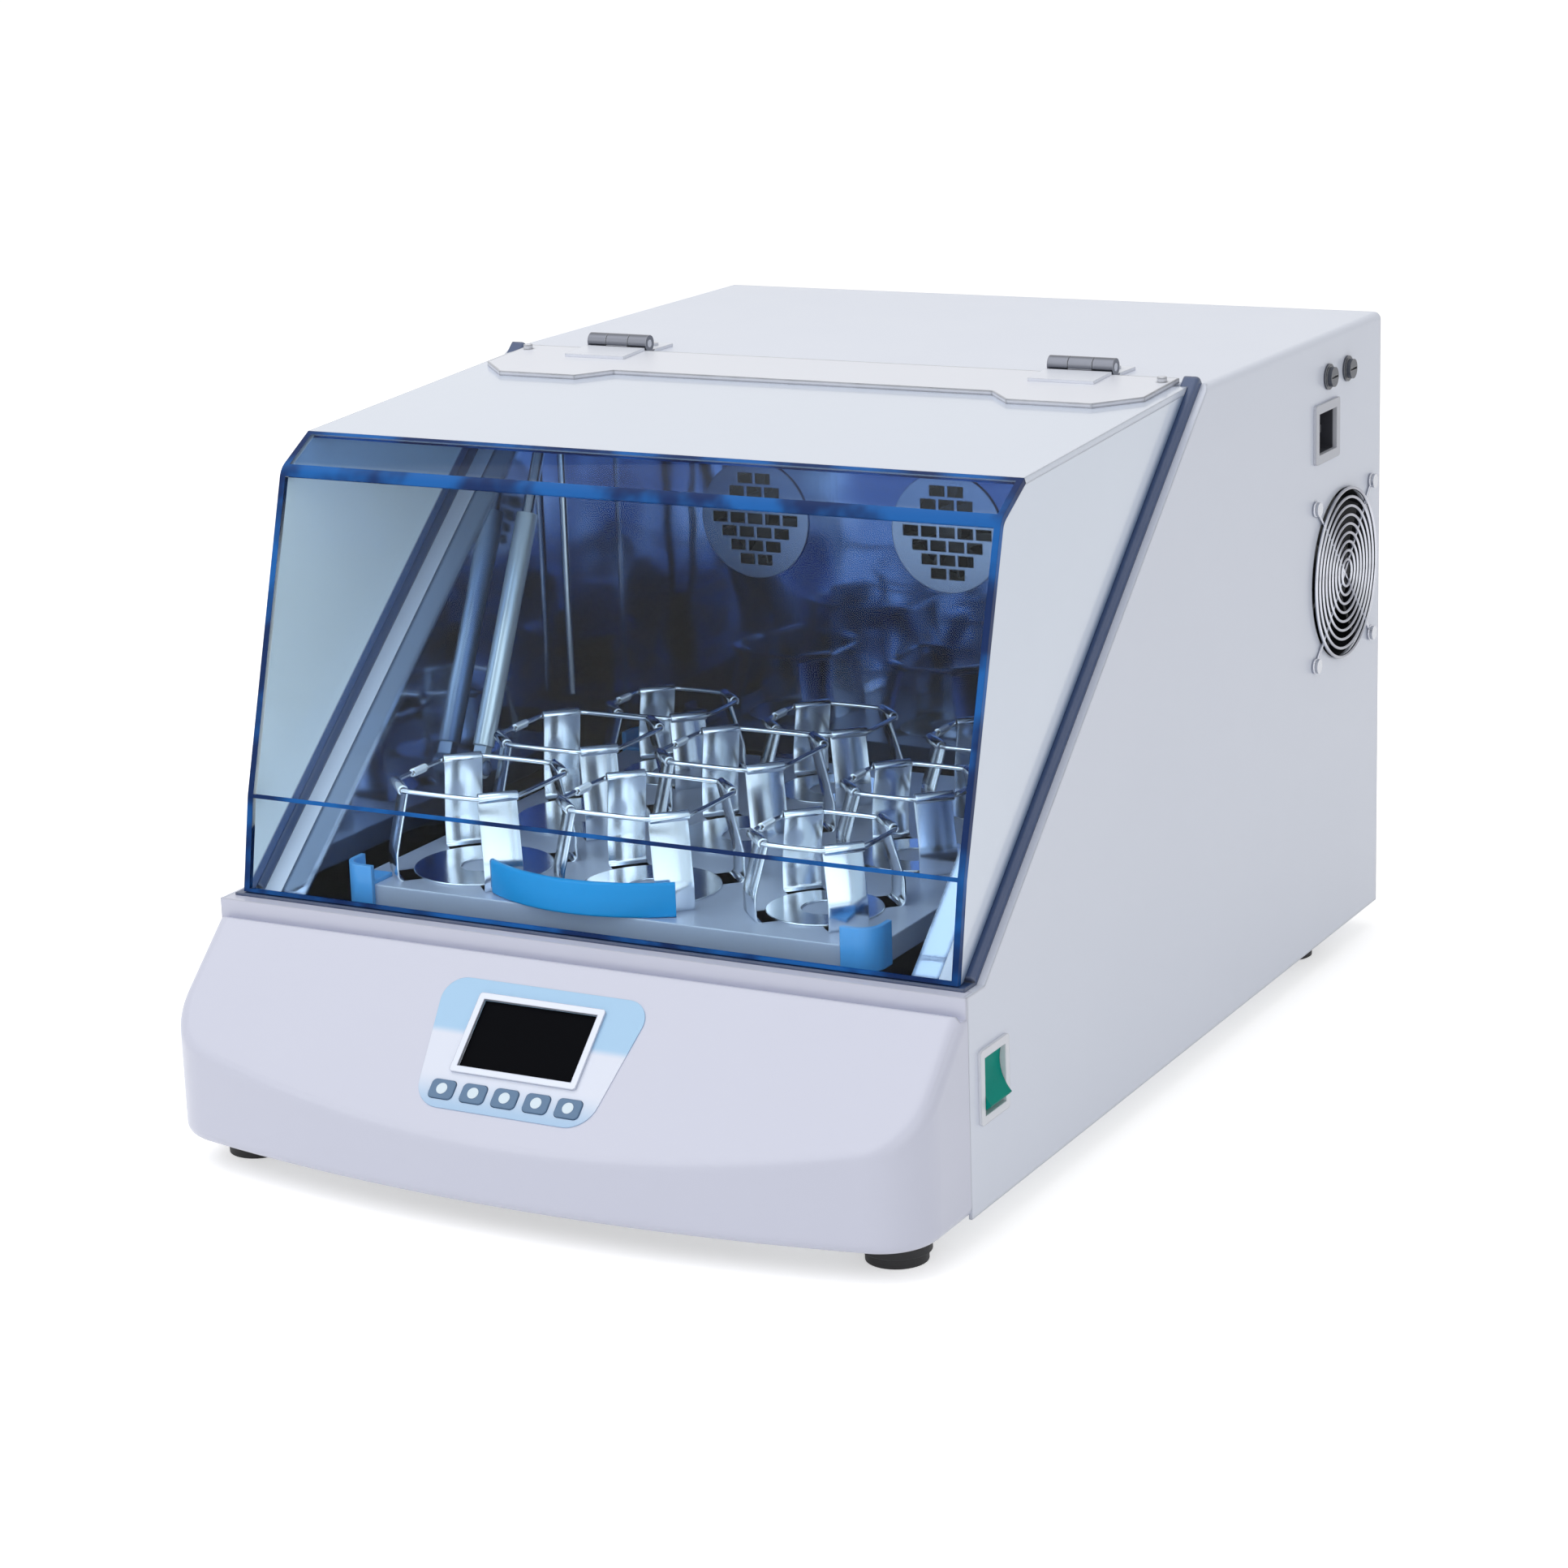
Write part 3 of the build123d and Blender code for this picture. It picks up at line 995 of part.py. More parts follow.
# ---- Hinges: outer knuckles on the case, the middle knuckle on the lid ----
HINGE_PLACES = [side * HINGE_SPREAD_X for side in SIDES.values()]
LEAF_BACK_Y = HINGE_Y + CASE_LEAF_LENGTH
with BuildPart() as hinge_leaves_case:
    for x in HINGE_PLACES:
        block(
            (x - HINGE_WIDTH / 2, x + HINGE_WIDTH / 2),
            (HINGE_Y + LEAF_SETBACK, LEAF_BACK_Y),
            (CASE_TOP_Z, CASE_TOP_Z + HINGE_LEAF),
        )
        for side in SIDES.values():
            low, high = sorted((x + side * HINGE_WIDTH / 2, x + side * (LID_KNUCKLE / 2 + KNUCKLE_GAP)))
            cross_round((HINGE_Y, HINGE_Z), KNUCKLE_RADIUS, low, high)
            block((low, high), (HINGE_Y, HINGE_Y + LEAF_SETBACK), (CASE_TOP_Z, CASE_TOP_Z + HINGE_LEAF))
        cross_round(
            (HINGE_Y, HINGE_Z),
            HINGE_PIN_RADIUS,
            x - HINGE_WIDTH / 2,
            x + HINGE_WIDTH / 2,
            mode=Mode.SUBTRACT,
        )
save(hinge_leaves_case.part, "hinge_leaves_case")

with BuildPart() as hinge_pins:
    for x in HINGE_PLACES:
        cross_round((HINGE_Y, HINGE_Z), HINGE_PIN_RADIUS, x - HINGE_WIDTH / 2, x + HINGE_WIDTH / 2)
save(hinge_pins.part, "hinge_pins")

LEAF_PLANE = LID_TOP_FACE.offset(STRIP_THICKNESS)
LEAF_FRONT = HINGE_Y - LID_LEAF_LENGTH - LID_BACK[0]
LEAF_BACK = HINGE_Y - LEAF_SETBACK - LID_BACK[0]
LEAF_TONGUE = LEAF_BACK + KNUCKLE_RADIUS - HINGE_PIN_RADIUS
with BuildPart() as hinge_leaves_lid:
    for x in HINGE_PLACES:
        with BuildSketch(LEAF_PLANE):
            with Locations((x, (LEAF_FRONT + LEAF_BACK) / 2)):
                Rectangle(HINGE_WIDTH, LEAF_BACK - LEAF_FRONT)
            with Locations((x, (LEAF_FRONT + LEAF_TONGUE) / 2)):
                Rectangle(LID_KNUCKLE, LEAF_TONGUE - LEAF_FRONT)
        extrude(amount=HINGE_LEAF)
        cross_round((HINGE_Y, HINGE_Z), KNUCKLE_RADIUS, x - LID_KNUCKLE / 2, x + LID_KNUCKLE / 2)
        cross_round(
            (HINGE_Y, HINGE_Z),
            HINGE_PIN_RADIUS + HINGE_CLEARANCE,
            x - LID_KNUCKLE / 2,
            x + LID_KNUCKLE / 2,
            mode=Mode.SUBTRACT,
        )
save(hinge_leaves_lid.part, "hinge_leaves_lid")

# ---- Gas struts and the lid brackets that they hold up ----
TAB_X = STRUT_X + STRUT_EYE_WIDTH / 2 + STRUT_GAP
TAB_Y = (STRUT_TOP[0] - BRACKET_WIDTH / 2, STRUT_TOP[0] + BRACKET_WIDTH / 2)
TAB_LOW_Z = STRUT_TOP[1] - STRUT_EYE_RADIUS
ROOF = shifted(LID_BACK, LID_BROW, LID_SHEET)
ROOF_AT = [crossing(*ROOF, (y, 0), (y, 1)) for y in TAB_Y]
TAB_OUTLINE = [(TAB_Y[0], TAB_LOW_Z), (TAB_Y[1], TAB_LOW_Z), ROOF_AT[1], ROOF_AT[0]]
FOOT_OUTLINE = [*ROOF_AT, *[(y, z - BRACKET_PLATE) for y, z in reversed(ROOF_AT)]]
with BuildPart() as strut_brackets_lid:
    for side in SIDES.values():
        low, high = sorted((side * TAB_X, side * (TAB_X + BRACKET_PLATE)))
        side_shape(TAB_OUTLINE, low, high)
        low, high = sorted((side * TAB_X, side * (TAB_X + BRACKET_FOOT)))
        side_shape(FOOT_OUTLINE, low, high)
save(strut_brackets_lid.part, "strut_brackets_lid")

for name, side in SIDES.items():
    strut_x = side * STRUT_X
    along = Plane(origin=(strut_x, *STRUT_LOW), x_dir=(1, 0, 0), z_dir=(0, sin(LEAN), cos(LEAN)))
    eye_x = (strut_x - STRUT_EYE_WIDTH / 2, strut_x + STRUT_EYE_WIDTH / 2)
    with BuildPart() as strut_cylinder:
        with BuildSketch(along):
            Circle(STRUT_CYLINDER_RADIUS)
        extrude(amount=STRUT_CYLINDER_END)
        with BuildSketch(along):
            Rectangle(4 * STRUT_CYLINDER_RADIUS, 4 * STRUT_CYLINDER_RADIUS)
        extrude(amount=2 * STRUT_EYE_RADIUS, mode=Mode.SUBTRACT)
        with BuildSketch(along):
            Rectangle(STRUT_EYE_WIDTH, STRUT_EYE_RADIUS)
        extrude(amount=2 * STRUT_EYE_RADIUS)
        cross_round(STRUT_LOW, STRUT_EYE_RADIUS, *eye_x)
        cross_round(STRUT_LOW, STRUT_STUD_RADIUS + STRUT_CLEARANCE, *eye_x, mode=Mode.SUBTRACT)
        with BuildSketch(along.offset(STRUT_BORE_START)):
            Circle(STRUT_CYLINDER_RADIUS - STRUT_WALL)
        extrude(amount=STRUT_CYLINDER_END - STRUT_CAP - STRUT_BORE_START, mode=Mode.SUBTRACT)
        with BuildSketch(along.offset(STRUT_BORE_START)):
            Circle(STRUT_ROD_RADIUS + STRUT_CLEARANCE)
        extrude(amount=STRUT_CYLINDER_END - STRUT_BORE_START, mode=Mode.SUBTRACT)
    save(strut_cylinder.part, f"strut_cylinder_{name}")
    with BuildPart() as strut_rod:
        with BuildSketch(along.offset(STRUT_ROD_START)):
            Circle(STRUT_CYLINDER_RADIUS - STRUT_WALL - STRUT_CLEARANCE)
        extrude(amount=STRUT_PISTON)
        with BuildSketch(along.offset(STRUT_ROD_START)):
            Circle(STRUT_ROD_RADIUS)
        extrude(amount=STRUT_LENGTH - STRUT_ROD_START - STRUT_EYE_RADIUS / 2)
        cross_round(STRUT_TOP, STRUT_EYE_RADIUS, *eye_x)
        inner_face = strut_x - side * STRUT_EYE_WIDTH / 2
        low, high = sorted((inner_face, inner_face - side * STRUT_HEAD_THICKNESS))
        cross_round(STRUT_TOP, STRUT_STUD_HEAD, low, high)
    save(strut_rod.part, f"strut_rod_{name}")

# ---- Rocker switch ----
with BuildPart() as switch_housing:
    with BuildSketch(SIDE_FACE):
        with Locations((SWITCH_Y, SWITCH_Z)):
            RectangleRounded(
                SWITCH_WIDTH + 2 * SWITCH_BEZEL, SWITCH_HEIGHT + 2 * SWITCH_BEZEL, SWITCH_BEZEL / 2
            )
    extrude(amount=SWITCH_BEZEL_PROUD)
    with BuildSketch(SIDE_FACE):
        with Locations((SWITCH_Y, SWITCH_Z)):
            Rectangle(*SWITCH_BODY)
    extrude(amount=-SWITCH_DEPTH)
    with BuildSketch(SIDE_FACE.offset(SWITCH_BEZEL_PROUD)):
        with Locations((SWITCH_Y, SWITCH_Z)):
            Rectangle(SWITCH_WIDTH, SWITCH_HEIGHT)
    extrude(amount=SWITCH_WALL - SWITCH_DEPTH - SWITCH_BEZEL_PROUD, mode=Mode.SUBTRACT)
    pivot_plane = Plane.XZ.offset(-SWITCH_Y - SWITCH_BODY[0] / 2)
    with BuildSketch(pivot_plane):
        with Locations((HALF_WIDTH - ROCKER_PIVOT_DEPTH, SWITCH_Z)):
            Circle(ROCKER_PIVOT_RADIUS + ROCKER_PIVOT_CLEARANCE)
    extrude(amount=SWITCH_BODY[0], mode=Mode.SUBTRACT)
save(switch_housing.part, "switch_housing")

ROCKER_HALF_HEIGHT = SWITCH_HEIGHT / 2 - ROCKER_GAP
ROCKER_LENGTH = SWITCH_WIDTH - 2 * ROCKER_GAP
ROCKER_TIP = ROCKER_CREST + ROCKER_DISH
TILT = radians(ROCKER_TILT)
ROCKER_PLANE = Plane(
    origin=(HALF_WIDTH - ROCKER_PIVOT_DEPTH, SWITCH_Y + ROCKER_LENGTH / 2, SWITCH_Z),
    x_dir=(cos(TILT), 0, sin(TILT)),
    z_dir=(0, -1, 0),
)
with BuildPart() as power_rocker:
    with BuildSketch(ROCKER_PLANE):
        Circle(ROCKER_HALF_HEIGHT)
        with BuildLine():
            ThreePointArc(
                (ROCKER_TIP, -ROCKER_HALF_HEIGHT), (ROCKER_CREST, 0), (ROCKER_TIP, ROCKER_HALF_HEIGHT)
            )
            Polyline(
                (ROCKER_TIP, ROCKER_HALF_HEIGHT),
                (-ROCKER_BACK, ROCKER_HALF_HEIGHT),
                (-ROCKER_BACK, -ROCKER_HALF_HEIGHT),
                (ROCKER_TIP, -ROCKER_HALF_HEIGHT),
            )
        make_face(mode=Mode.INTERSECT)
    extrude(amount=ROCKER_LENGTH)
    pin_reach = (SWITCH_BODY[0] - ROCKER_LENGTH) / 2
    with BuildSketch(ROCKER_PLANE.offset(-pin_reach)):
        Circle(ROCKER_PIVOT_RADIUS)
    extrude(amount=SWITCH_BODY[0])
save(power_rocker.part, "power_rocker")

# ---- Power inlet and fuse holders ----
with BuildPart() as power_inlet:
    with BuildSketch(SIDE_FACE):
        with Locations((INLET_Y, INLET_Z)):
            RectangleRounded(
                INLET_BODY[0] + 2 * INLET_FLANGE, INLET_BODY[1] + 2 * INLET_FLANGE, INLET_FLANGE / 2
            )
    extrude(amount=INLET_PROUD)
    with BuildSketch(SIDE_FACE):
        with Locations((INLET_Y, INLET_Z)):
            Rectangle(*INLET_BODY)
    extrude(amount=-INLET_DEPTH)
    with BuildSketch(SIDE_FACE.offset(INLET_PROUD)):
        with Locations((INLET_Y, INLET_Z)):
            Rectangle(INLET_WIDTH, INLET_HEIGHT)
    extrude(amount=INLET_WALL - INLET_DEPTH - INLET_PROUD, mode=Mode.SUBTRACT)
    with BuildSketch(SIDE_FACE.offset(-INLET_DEPTH)):
        with Locations((INLET_Y, INLET_Z)):
            with GridLocations(INLET_CONTACT_PITCH, 1, 3, 1):
                Rectangle(INLET_CONTACT[0], INLET_CONTACT[1])
    extrude(amount=INLET_WALL + INLET_CONTACT[2])
save(power_inlet.part, "power_inlet")

FUSE_PLACES = [(y, FUSE_Z) for y in FUSE_Y]
with BuildPart() as fuse_holders:
    for radius, reach in (
        (FUSE_FLANGE_RADIUS, FUSE_FLANGE),
        (FUSE_CAP_RADIUS, FUSE_PROUD),
        (FUSE_BODY_RADIUS, -FUSE_LENGTH),
    ):
        with BuildSketch(SIDE_FACE):
            with Locations(*FUSE_PLACES):
                Circle(radius)
        extrude(amount=reach)
    with BuildSketch(SIDE_FACE.offset(FUSE_PROUD)):
        with Locations(*FUSE_PLACES):
            Rectangle(2 * FUSE_BODY_RADIUS, FUSE_SLOT)
    extrude(amount=-FUSE_SLOT, mode=Mode.SUBTRACT)
save(fuse_holders.part, "fuse_holders")

# ---- Cooling fan in the right side, and its wire guard ----
FAN_INNER_X = INNER_HALF - FAN_THICKNESS
HUB_FRONT_X = INNER_HALF - FAN_HUB_SETBACK
with BuildPart() as fan_frame:
    with BuildSketch(Plane.YZ.offset(FAN_INNER_X)):
        with Locations((FAN_Y, FAN_Z)):
            RectangleRounded(FAN_SIZE, FAN_SIZE, FAN_CORNER)
            Circle(FAN_BORE_RADIUS, mode=Mode.SUBTRACT)
        with Locations(*FAN_SCREW_PLACES):
            Circle(FAN_SCREW_HOLE, mode=Mode.SUBTRACT)
    extrude(amount=FAN_THICKNESS)
    with BuildSketch(Plane.YZ.offset(FAN_INNER_X)):
        with Locations((FAN_Y, FAN_Z)):
            Circle(FAN_HUB_RADIUS)
            with Locations(Location((0, 0), GUARD_SPOKE_ANGLE), Location((0, 0), -GUARD_SPOKE_ANGLE)):
                Rectangle(2 * FAN_BORE_RADIUS + FAN_SPIDER, FAN_SPIDER)
    extrude(amount=FAN_SPIDER_DEPTH)
    cross_round(
        (FAN_Y, FAN_Z),
        FAN_SHAFT_RADIUS + FAN_SHAFT_CLEARANCE,
        FAN_INNER_X,
        FAN_INNER_X + FAN_SPIDER_DEPTH,
        mode=Mode.SUBTRACT,
    )
save(fan_frame.part, "fan_frame")

HUB_BACK_X = HUB_FRONT_X - FAN_HUB_LENGTH
HUB_MID_X = HUB_FRONT_X - FAN_HUB_LENGTH / 2
BLADE_ROOT = FAN_HUB_RADIUS - FAN_BLADE_THICKNESS
with BuildPart() as fan_rotor:
    cross_round((FAN_Y, FAN_Z), FAN_HUB_RADIUS, HUB_BACK_X, HUB_FRONT_X)
    cross_round((FAN_Y, FAN_Z), FAN_SHAFT_RADIUS, FAN_INNER_X + PANEL_GAP, HUB_BACK_X)
    for blade in range(FAN_BLADES):
        turn = 2 * pi * blade / FAN_BLADES
        root = (HUB_MID_X, FAN_Y + BLADE_ROOT * cos(turn), FAN_Z + BLADE_ROOT * sin(turn))
        with BuildSketch(Plane(origin=root, x_dir=(1, 0, 0), z_dir=(0, cos(turn), sin(turn)))):
            Rectangle(FAN_BLADE_CHORD, FAN_BLADE_THICKNESS, rotation=FAN_BLADE_PITCH)
        extrude(amount=FAN_TIP_RADIUS - BLADE_ROOT)
save(fan_rotor.part, "fan_rotor")

GUARD_STEP = (GUARD_RADIUS - GUARD_INNER_RADIUS) / (GUARD_RINGS - 1)
SPOKE_PLANE_X = HALF_WIDTH + GUARD_WIRE
RING_PLANE_X = SPOKE_PLANE_X + GUARD_LAY * GUARD_WIRE
LOOP_REACH = FAN_SCREW_PITCH / sqrt(2) - GUARD_LOOP_RADIUS
with BuildPart() as fan_guard:
    with Locations(Plane(origin=(RING_PLANE_X, FAN_Y, FAN_Z), z_dir=(1, 0, 0))):
        for ring in range(GUARD_RINGS):
            Torus(GUARD_INNER_RADIUS + ring * GUARD_STEP, GUARD_WIRE)
    for turn in (pi / 4, -pi / 4):
        start = (SPOKE_PLANE_X, FAN_Y - LOOP_REACH * cos(turn), FAN_Z - LOOP_REACH * sin(turn))
        with BuildSketch(Plane(origin=start, z_dir=(0, cos(turn), sin(turn)))):
            Circle(GUARD_WIRE)
        extrude(amount=2 * LOOP_REACH)
    with Locations(*[Plane(origin=(SPOKE_PLANE_X, y, z), z_dir=(1, 0, 0)) for y, z in FAN_SCREW_PLACES]):
        Torus(GUARD_LOOP_RADIUS, GUARD_WIRE)
save(fan_guard.part, "fan_guard")

# ---- Screws: fan guard and case hinge leaves ----
HEAD_X = HALF_WIDTH + 2 * GUARD_WIRE
GUARD_HEAD_RADIUS = GUARD_LOOP_RADIUS + GUARD_WIRE / 2
LEAF_SCREW_Y = HINGE_Y + CASE_LEAF_LENGTH * LEAF_SCREW_SHARE
LEAF_SCREW_PLACES = [
    (x + dx, LEAF_SCREW_Y) for x in HINGE_PLACES for dx in (-LEAF_SCREW_SPREAD, LEAF_SCREW_SPREAD)
]
with BuildPart() as case_screws:
    for place in FAN_SCREW_PLACES:
        cross_round(place, GUARD_HEAD_RADIUS, HEAD_X, HEAD_X + SCREW_HEAD)
        cross_round(place, SCREW_RADIUS, HEAD_X - SCREW_LENGTH, HEAD_X)
    leaf_top_z = CASE_TOP_Z + HINGE_LEAF
    upright(LEAF_SCREW_PLACES, SCREW_HEAD_RADIUS, leaf_top_z, leaf_top_z + SCREW_HEAD)
save(case_screws.part, "case_screws")

# ---- Orbital drive: bearings, shaft with crank pin, pulleys and belt ----
with BuildPart() as bearing_housing:
    upright([(0, DRIVE_Y)], HOUSING_FLANGE_RADIUS, PAN_TOP_Z, PAN_TOP_Z + HOUSING_FLANGE)
    upright([(0, DRIVE_Y)], HOUSING_RADIUS, PAN_TOP_Z, HOUSING_TOP_Z)
    upright([(0, DRIVE_Y)], HOUSING_SHOULDER, PAN_TOP_Z + SHEET, HOUSING_TOP_Z, mode=Mode.SUBTRACT)
    for seat in (BEARING_LOW_Z, BEARING_HIGH_Z):
        upright([(0, DRIVE_Y)], BEARING_OUTER_RADIUS, seat, seat + BEARING_WIDTH, mode=Mode.SUBTRACT)
    upright(
        [(0, DRIVE_Y)],
        BEARING_OUTER_RADIUS,
        BEARING_HIGH_Z + BEARING_WIDTH,
        HOUSING_TOP_Z,
        mode=Mode.SUBTRACT,
    )
save(bearing_housing.part, "bearing_housing")

with BuildPart() as ball_bearings:
    for seat in (BEARING_LOW_Z, BEARING_HIGH_Z):
        upright([(0, DRIVE_Y)], BEARING_OUTER_RADIUS, seat, seat + BEARING_WIDTH)
    upright(
        [(0, DRIVE_Y)],
        SHAFT_RADIUS + BEARING_CLEARANCE,
        BEARING_LOW_Z,
        BEARING_HIGH_Z + BEARING_WIDTH,
        mode=Mode.SUBTRACT,
    )
save(ball_bearings.part, "ball_bearings")

CRANK_TOP_Z = CRANK_Z + CRANK_THICKNESS
with BuildPart() as drive_shaft:
    upright([(0, DRIVE_Y)], SHAFT_RADIUS, SHAFT_LOW_Z, CRANK_Z)
    upright([(0, DRIVE_Y)], CRANK_RADIUS, CRANK_Z, CRANK_TOP_Z)
    with BuildSketch(Plane.XY.offset(CRANK_Z)):
        with Locations((0, DRIVE_Y)):
            Circle(COUNTERWEIGHT_RADIUS)
            with BuildLine():
                spread = radians(COUNTERWEIGHT_ANGLE / 2)
                reach = 2 * COUNTERWEIGHT_RADIUS
                Polyline(
                    (0, DRIVE_Y),
                    (reach * sin(spread), DRIVE_Y + reach * cos(spread)),
                    (0, DRIVE_Y + 2 * reach),
                    (-reach * sin(spread), DRIVE_Y + reach * cos(spread)),
                    close=True,
                )
            make_face(mode=Mode.INTERSECT)
    extrude(amount=CRANK_THICKNESS)
    upright([(0, CRANK_PIN_Y)], CRANK_PIN_RADIUS, CRANK_TOP_Z, PIN_TOP_Z)
save(drive_shaft.part, "drive_shaft")

with BuildPart() as drive_pulley:
    with BuildSketch(Plane.XY.offset(PULLEY_Z)):
        with Locations((0, DRIVE_Y)):
            Circle(DRIVE_PULLEY_RADIUS)
            Circle(SHAFT_RADIUS, mode=Mode.SUBTRACT)
            with PolarLocations(PULLEY_WEB_CIRCLE, PULLEY_WEB_HOLES):
                Circle(PULLEY_WEB_HOLE, mode=Mode.SUBTRACT)
    extrude(amount=PULLEY_WIDTH)
save(drive_pulley.part, "drive_pulley")

with BuildPart() as motor_pulley:
    upright([(0, MOTOR_Y)], MOTOR_PULLEY_RADIUS, PULLEY_Z, PULLEY_Z + PULLEY_WIDTH)
    upright([(0, MOTOR_Y)], MOTOR_SHAFT_RADIUS, MOTOR_SHAFT_LOW_Z, PULLEY_Z)
save(motor_pulley.part, "motor_pulley")

with BuildPart() as motor:
    upright([(0, MOTOR_Y)], MOTOR_FLANGE_RADIUS, PAN_TOP_Z, PAN_TOP_Z + MOTOR_FLANGE)
    upright([(0, MOTOR_Y)], MOTOR_RADIUS, PAN_TOP_Z, MOTOR_TOP_Z)
    bore = MOTOR_SHAFT_RADIUS + MOTOR_SHAFT_CLEARANCE
    upright([(0, MOTOR_Y)], bore, MOTOR_SHAFT_LOW_Z - BORE_END_GAP, MOTOR_TOP_Z, mode=Mode.SUBTRACT)
save(motor.part, "motor")

BELT_LOW_Z = PULLEY_Z + BELT_MARGIN
BELT_HEIGHT = PULLEY_WIDTH - 2 * BELT_MARGIN
with BuildPart() as drive_belt:
    for step, mode in ((BELT_GAP + BELT_THICKNESS, Mode.ADD), (BELT_GAP, Mode.SUBTRACT)):
        with BuildSketch(Plane.XY.offset(BELT_LOW_Z)):
            with Locations((0, DRIVE_Y)):
                Circle(DRIVE_PULLEY_RADIUS + step)
            with Locations((0, MOTOR_Y)):
                Circle(MOTOR_PULLEY_RADIUS + step)
            make_hull()
        extrude(amount=BELT_HEIGHT, mode=mode)
save(drive_belt.part, "drive_belt")

with BuildPart() as idler_posts:
    upright(IDLER_PLACES, IDLER_POST_FLANGE_RADIUS, PAN_TOP_Z, PAN_TOP_Z + IDLER_POST_FLANGE)
    upright(IDLER_PLACES, IDLER_POST_RADIUS, PAN_TOP_Z, IDLER_POST_TOP_Z)
    bore = IDLER_SHAFT_RADIUS + PIN_CLEARANCE
    upright(IDLER_PLACES, bore, IDLER_SHAFT_LOW_Z - BORE_END_GAP, IDLER_POST_TOP_Z, mode=Mode.SUBTRACT)
save(idler_posts.part, "idler_posts")

for name, side in SIDES.items():
    pivot = (side * IDLER_X, IDLER_Y)
    pin = (side * IDLER_X, IDLER_Y - ORBIT_RADIUS)
    with BuildPart() as idler_crank:
        upright([pivot], IDLER_SHAFT_RADIUS, IDLER_SHAFT_LOW_Z, IDLER_WEB_Z)
        with BuildSketch(Plane.XY.offset(IDLER_WEB_Z)):
            with Locations(pivot, pin):
                Circle(IDLER_WEB_RADIUS)
            make_hull()
        extrude(amount=IDLER_WEB)
        upright([pin], IDLER_PIN_RADIUS, IDLER_WEB_Z + IDLER_WEB, PIN_TOP_Z)
    save(idler_crank.part, f"idler_crank_{name}")

# ---- Platform: drive plate, tray, corner caps and pull handle ----
PLATE_LOW_Z = DRIVE_PLATE_TOP_Z - DRIVE_PLATE
TRAY_UNDER_Z = PLATFORM_TOP_Z - TRAY_SHEET
IDLER_PINS = [(x, y - ORBIT_RADIUS) for x, y in IDLER_PLACES]
STANDOFF_PLACES = [
    (x * STANDOFF_SPREAD, PLATFORM_MID_Y + y * STANDOFF_SPREAD) for x in (-1, 1) for y in (-1, 1)
]
with BuildPart() as drive_plate:
    half = DRIVE_PLATE_SIZE / 2
    block((-half, half), (PLATFORM_MID_Y - half, PLATFORM_MID_Y + half), (PLATE_LOW_Z, DRIVE_PLATE_TOP_Z))
    upright([(0, CRANK_PIN_Y)], HUB_RADIUS, HUB_LOW_Z, PLATE_LOW_Z)
    upright(IDLER_PINS, IDLER_HUB_RADIUS, HUB_LOW_Z, PLATE_LOW_Z)
    pin_bore = CRANK_PIN_RADIUS + PIN_CLEARANCE
    upright([(0, CRANK_PIN_Y)], pin_bore, HUB_LOW_Z, DRIVE_PLATE_TOP_Z, mode=Mode.SUBTRACT)
    upright(IDLER_PINS, IDLER_PIN_RADIUS + PIN_CLEARANCE, HUB_LOW_Z, DRIVE_PLATE_TOP_Z, mode=Mode.SUBTRACT)
    upright(STANDOFF_PLACES, STANDOFF_RADIUS, DRIVE_PLATE_TOP_Z, TRAY_UNDER_Z)
save(drive_plate.part, "drive_plate")

with BuildPart() as platform_tray:
    with BuildSketch(Plane.XY.offset(PLATFORM_TOP_Z - TRAY_SKIRT)):
        with Locations((0, PLATFORM_MID_Y)):
            RectangleRounded(PLATFORM_WIDTH, PLATFORM_DEPTH, TRAY_CORNER)
    extrude(amount=TRAY_SKIRT)
    with BuildSketch(Plane.XY.offset(PLATFORM_TOP_Z - TRAY_SKIRT)):
        with Locations((0, PLATFORM_MID_Y)):
            RectangleRounded(
                PLATFORM_WIDTH - 2 * TRAY_SHEET,
                PLATFORM_DEPTH - 2 * TRAY_SHEET,
                TRAY_CORNER - TRAY_SHEET,
            )
    extrude(amount=TRAY_SKIRT - TRAY_SHEET, mode=Mode.SUBTRACT)
save(platform_tray.part, "platform_tray")

TRAY_LOW_Z = PLATFORM_TOP_Z - TRAY_SKIRT
CAP_OUT_X = PLATFORM_HALF + CAP_PROUD
CAP_OUT_Y = PLATFORM_DEPTH / 2 + CAP_PROUD
CAP_TOP_Z = PLATFORM_TOP_Z + CAP_RISE
with BuildPart() as corner_caps:
    cap_steps = ((TRAY_LOW_Z, 0, Mode.ADD), (PLATFORM_TOP_Z + CAP_PLATE, CAP_PROUD, Mode.SUBTRACT))
    for low, step, mode in cap_steps:
        with BuildSketch(Plane.XY.offset(low)):
            with Locations((0, PLATFORM_MID_Y)):
                with GridLocations(2 * CAP_OUT_X - CAP_SIZE, 2 * CAP_OUT_Y - CAP_SIZE, 2, 2):
                    Rectangle(CAP_SIZE, CAP_SIZE)
            with Locations((0, PLATFORM_MID_Y)):
                RectangleRounded(
                    2 * (CAP_OUT_X - step),
                    2 * (CAP_OUT_Y - step),
                    TRAY_CORNER + CAP_PROUD - step,
                    mode=Mode.INTERSECT,
                )
        extrude(amount=CAP_TOP_Z - low, mode=mode)
    with BuildSketch(Plane.XY.offset(TRAY_LOW_Z)):
        with Locations((0, PLATFORM_MID_Y)):
            RectangleRounded(PLATFORM_WIDTH, PLATFORM_DEPTH, TRAY_CORNER)
    extrude(amount=TRAY_SKIRT, mode=Mode.SUBTRACT)
save(corner_caps.part, "corner_caps")

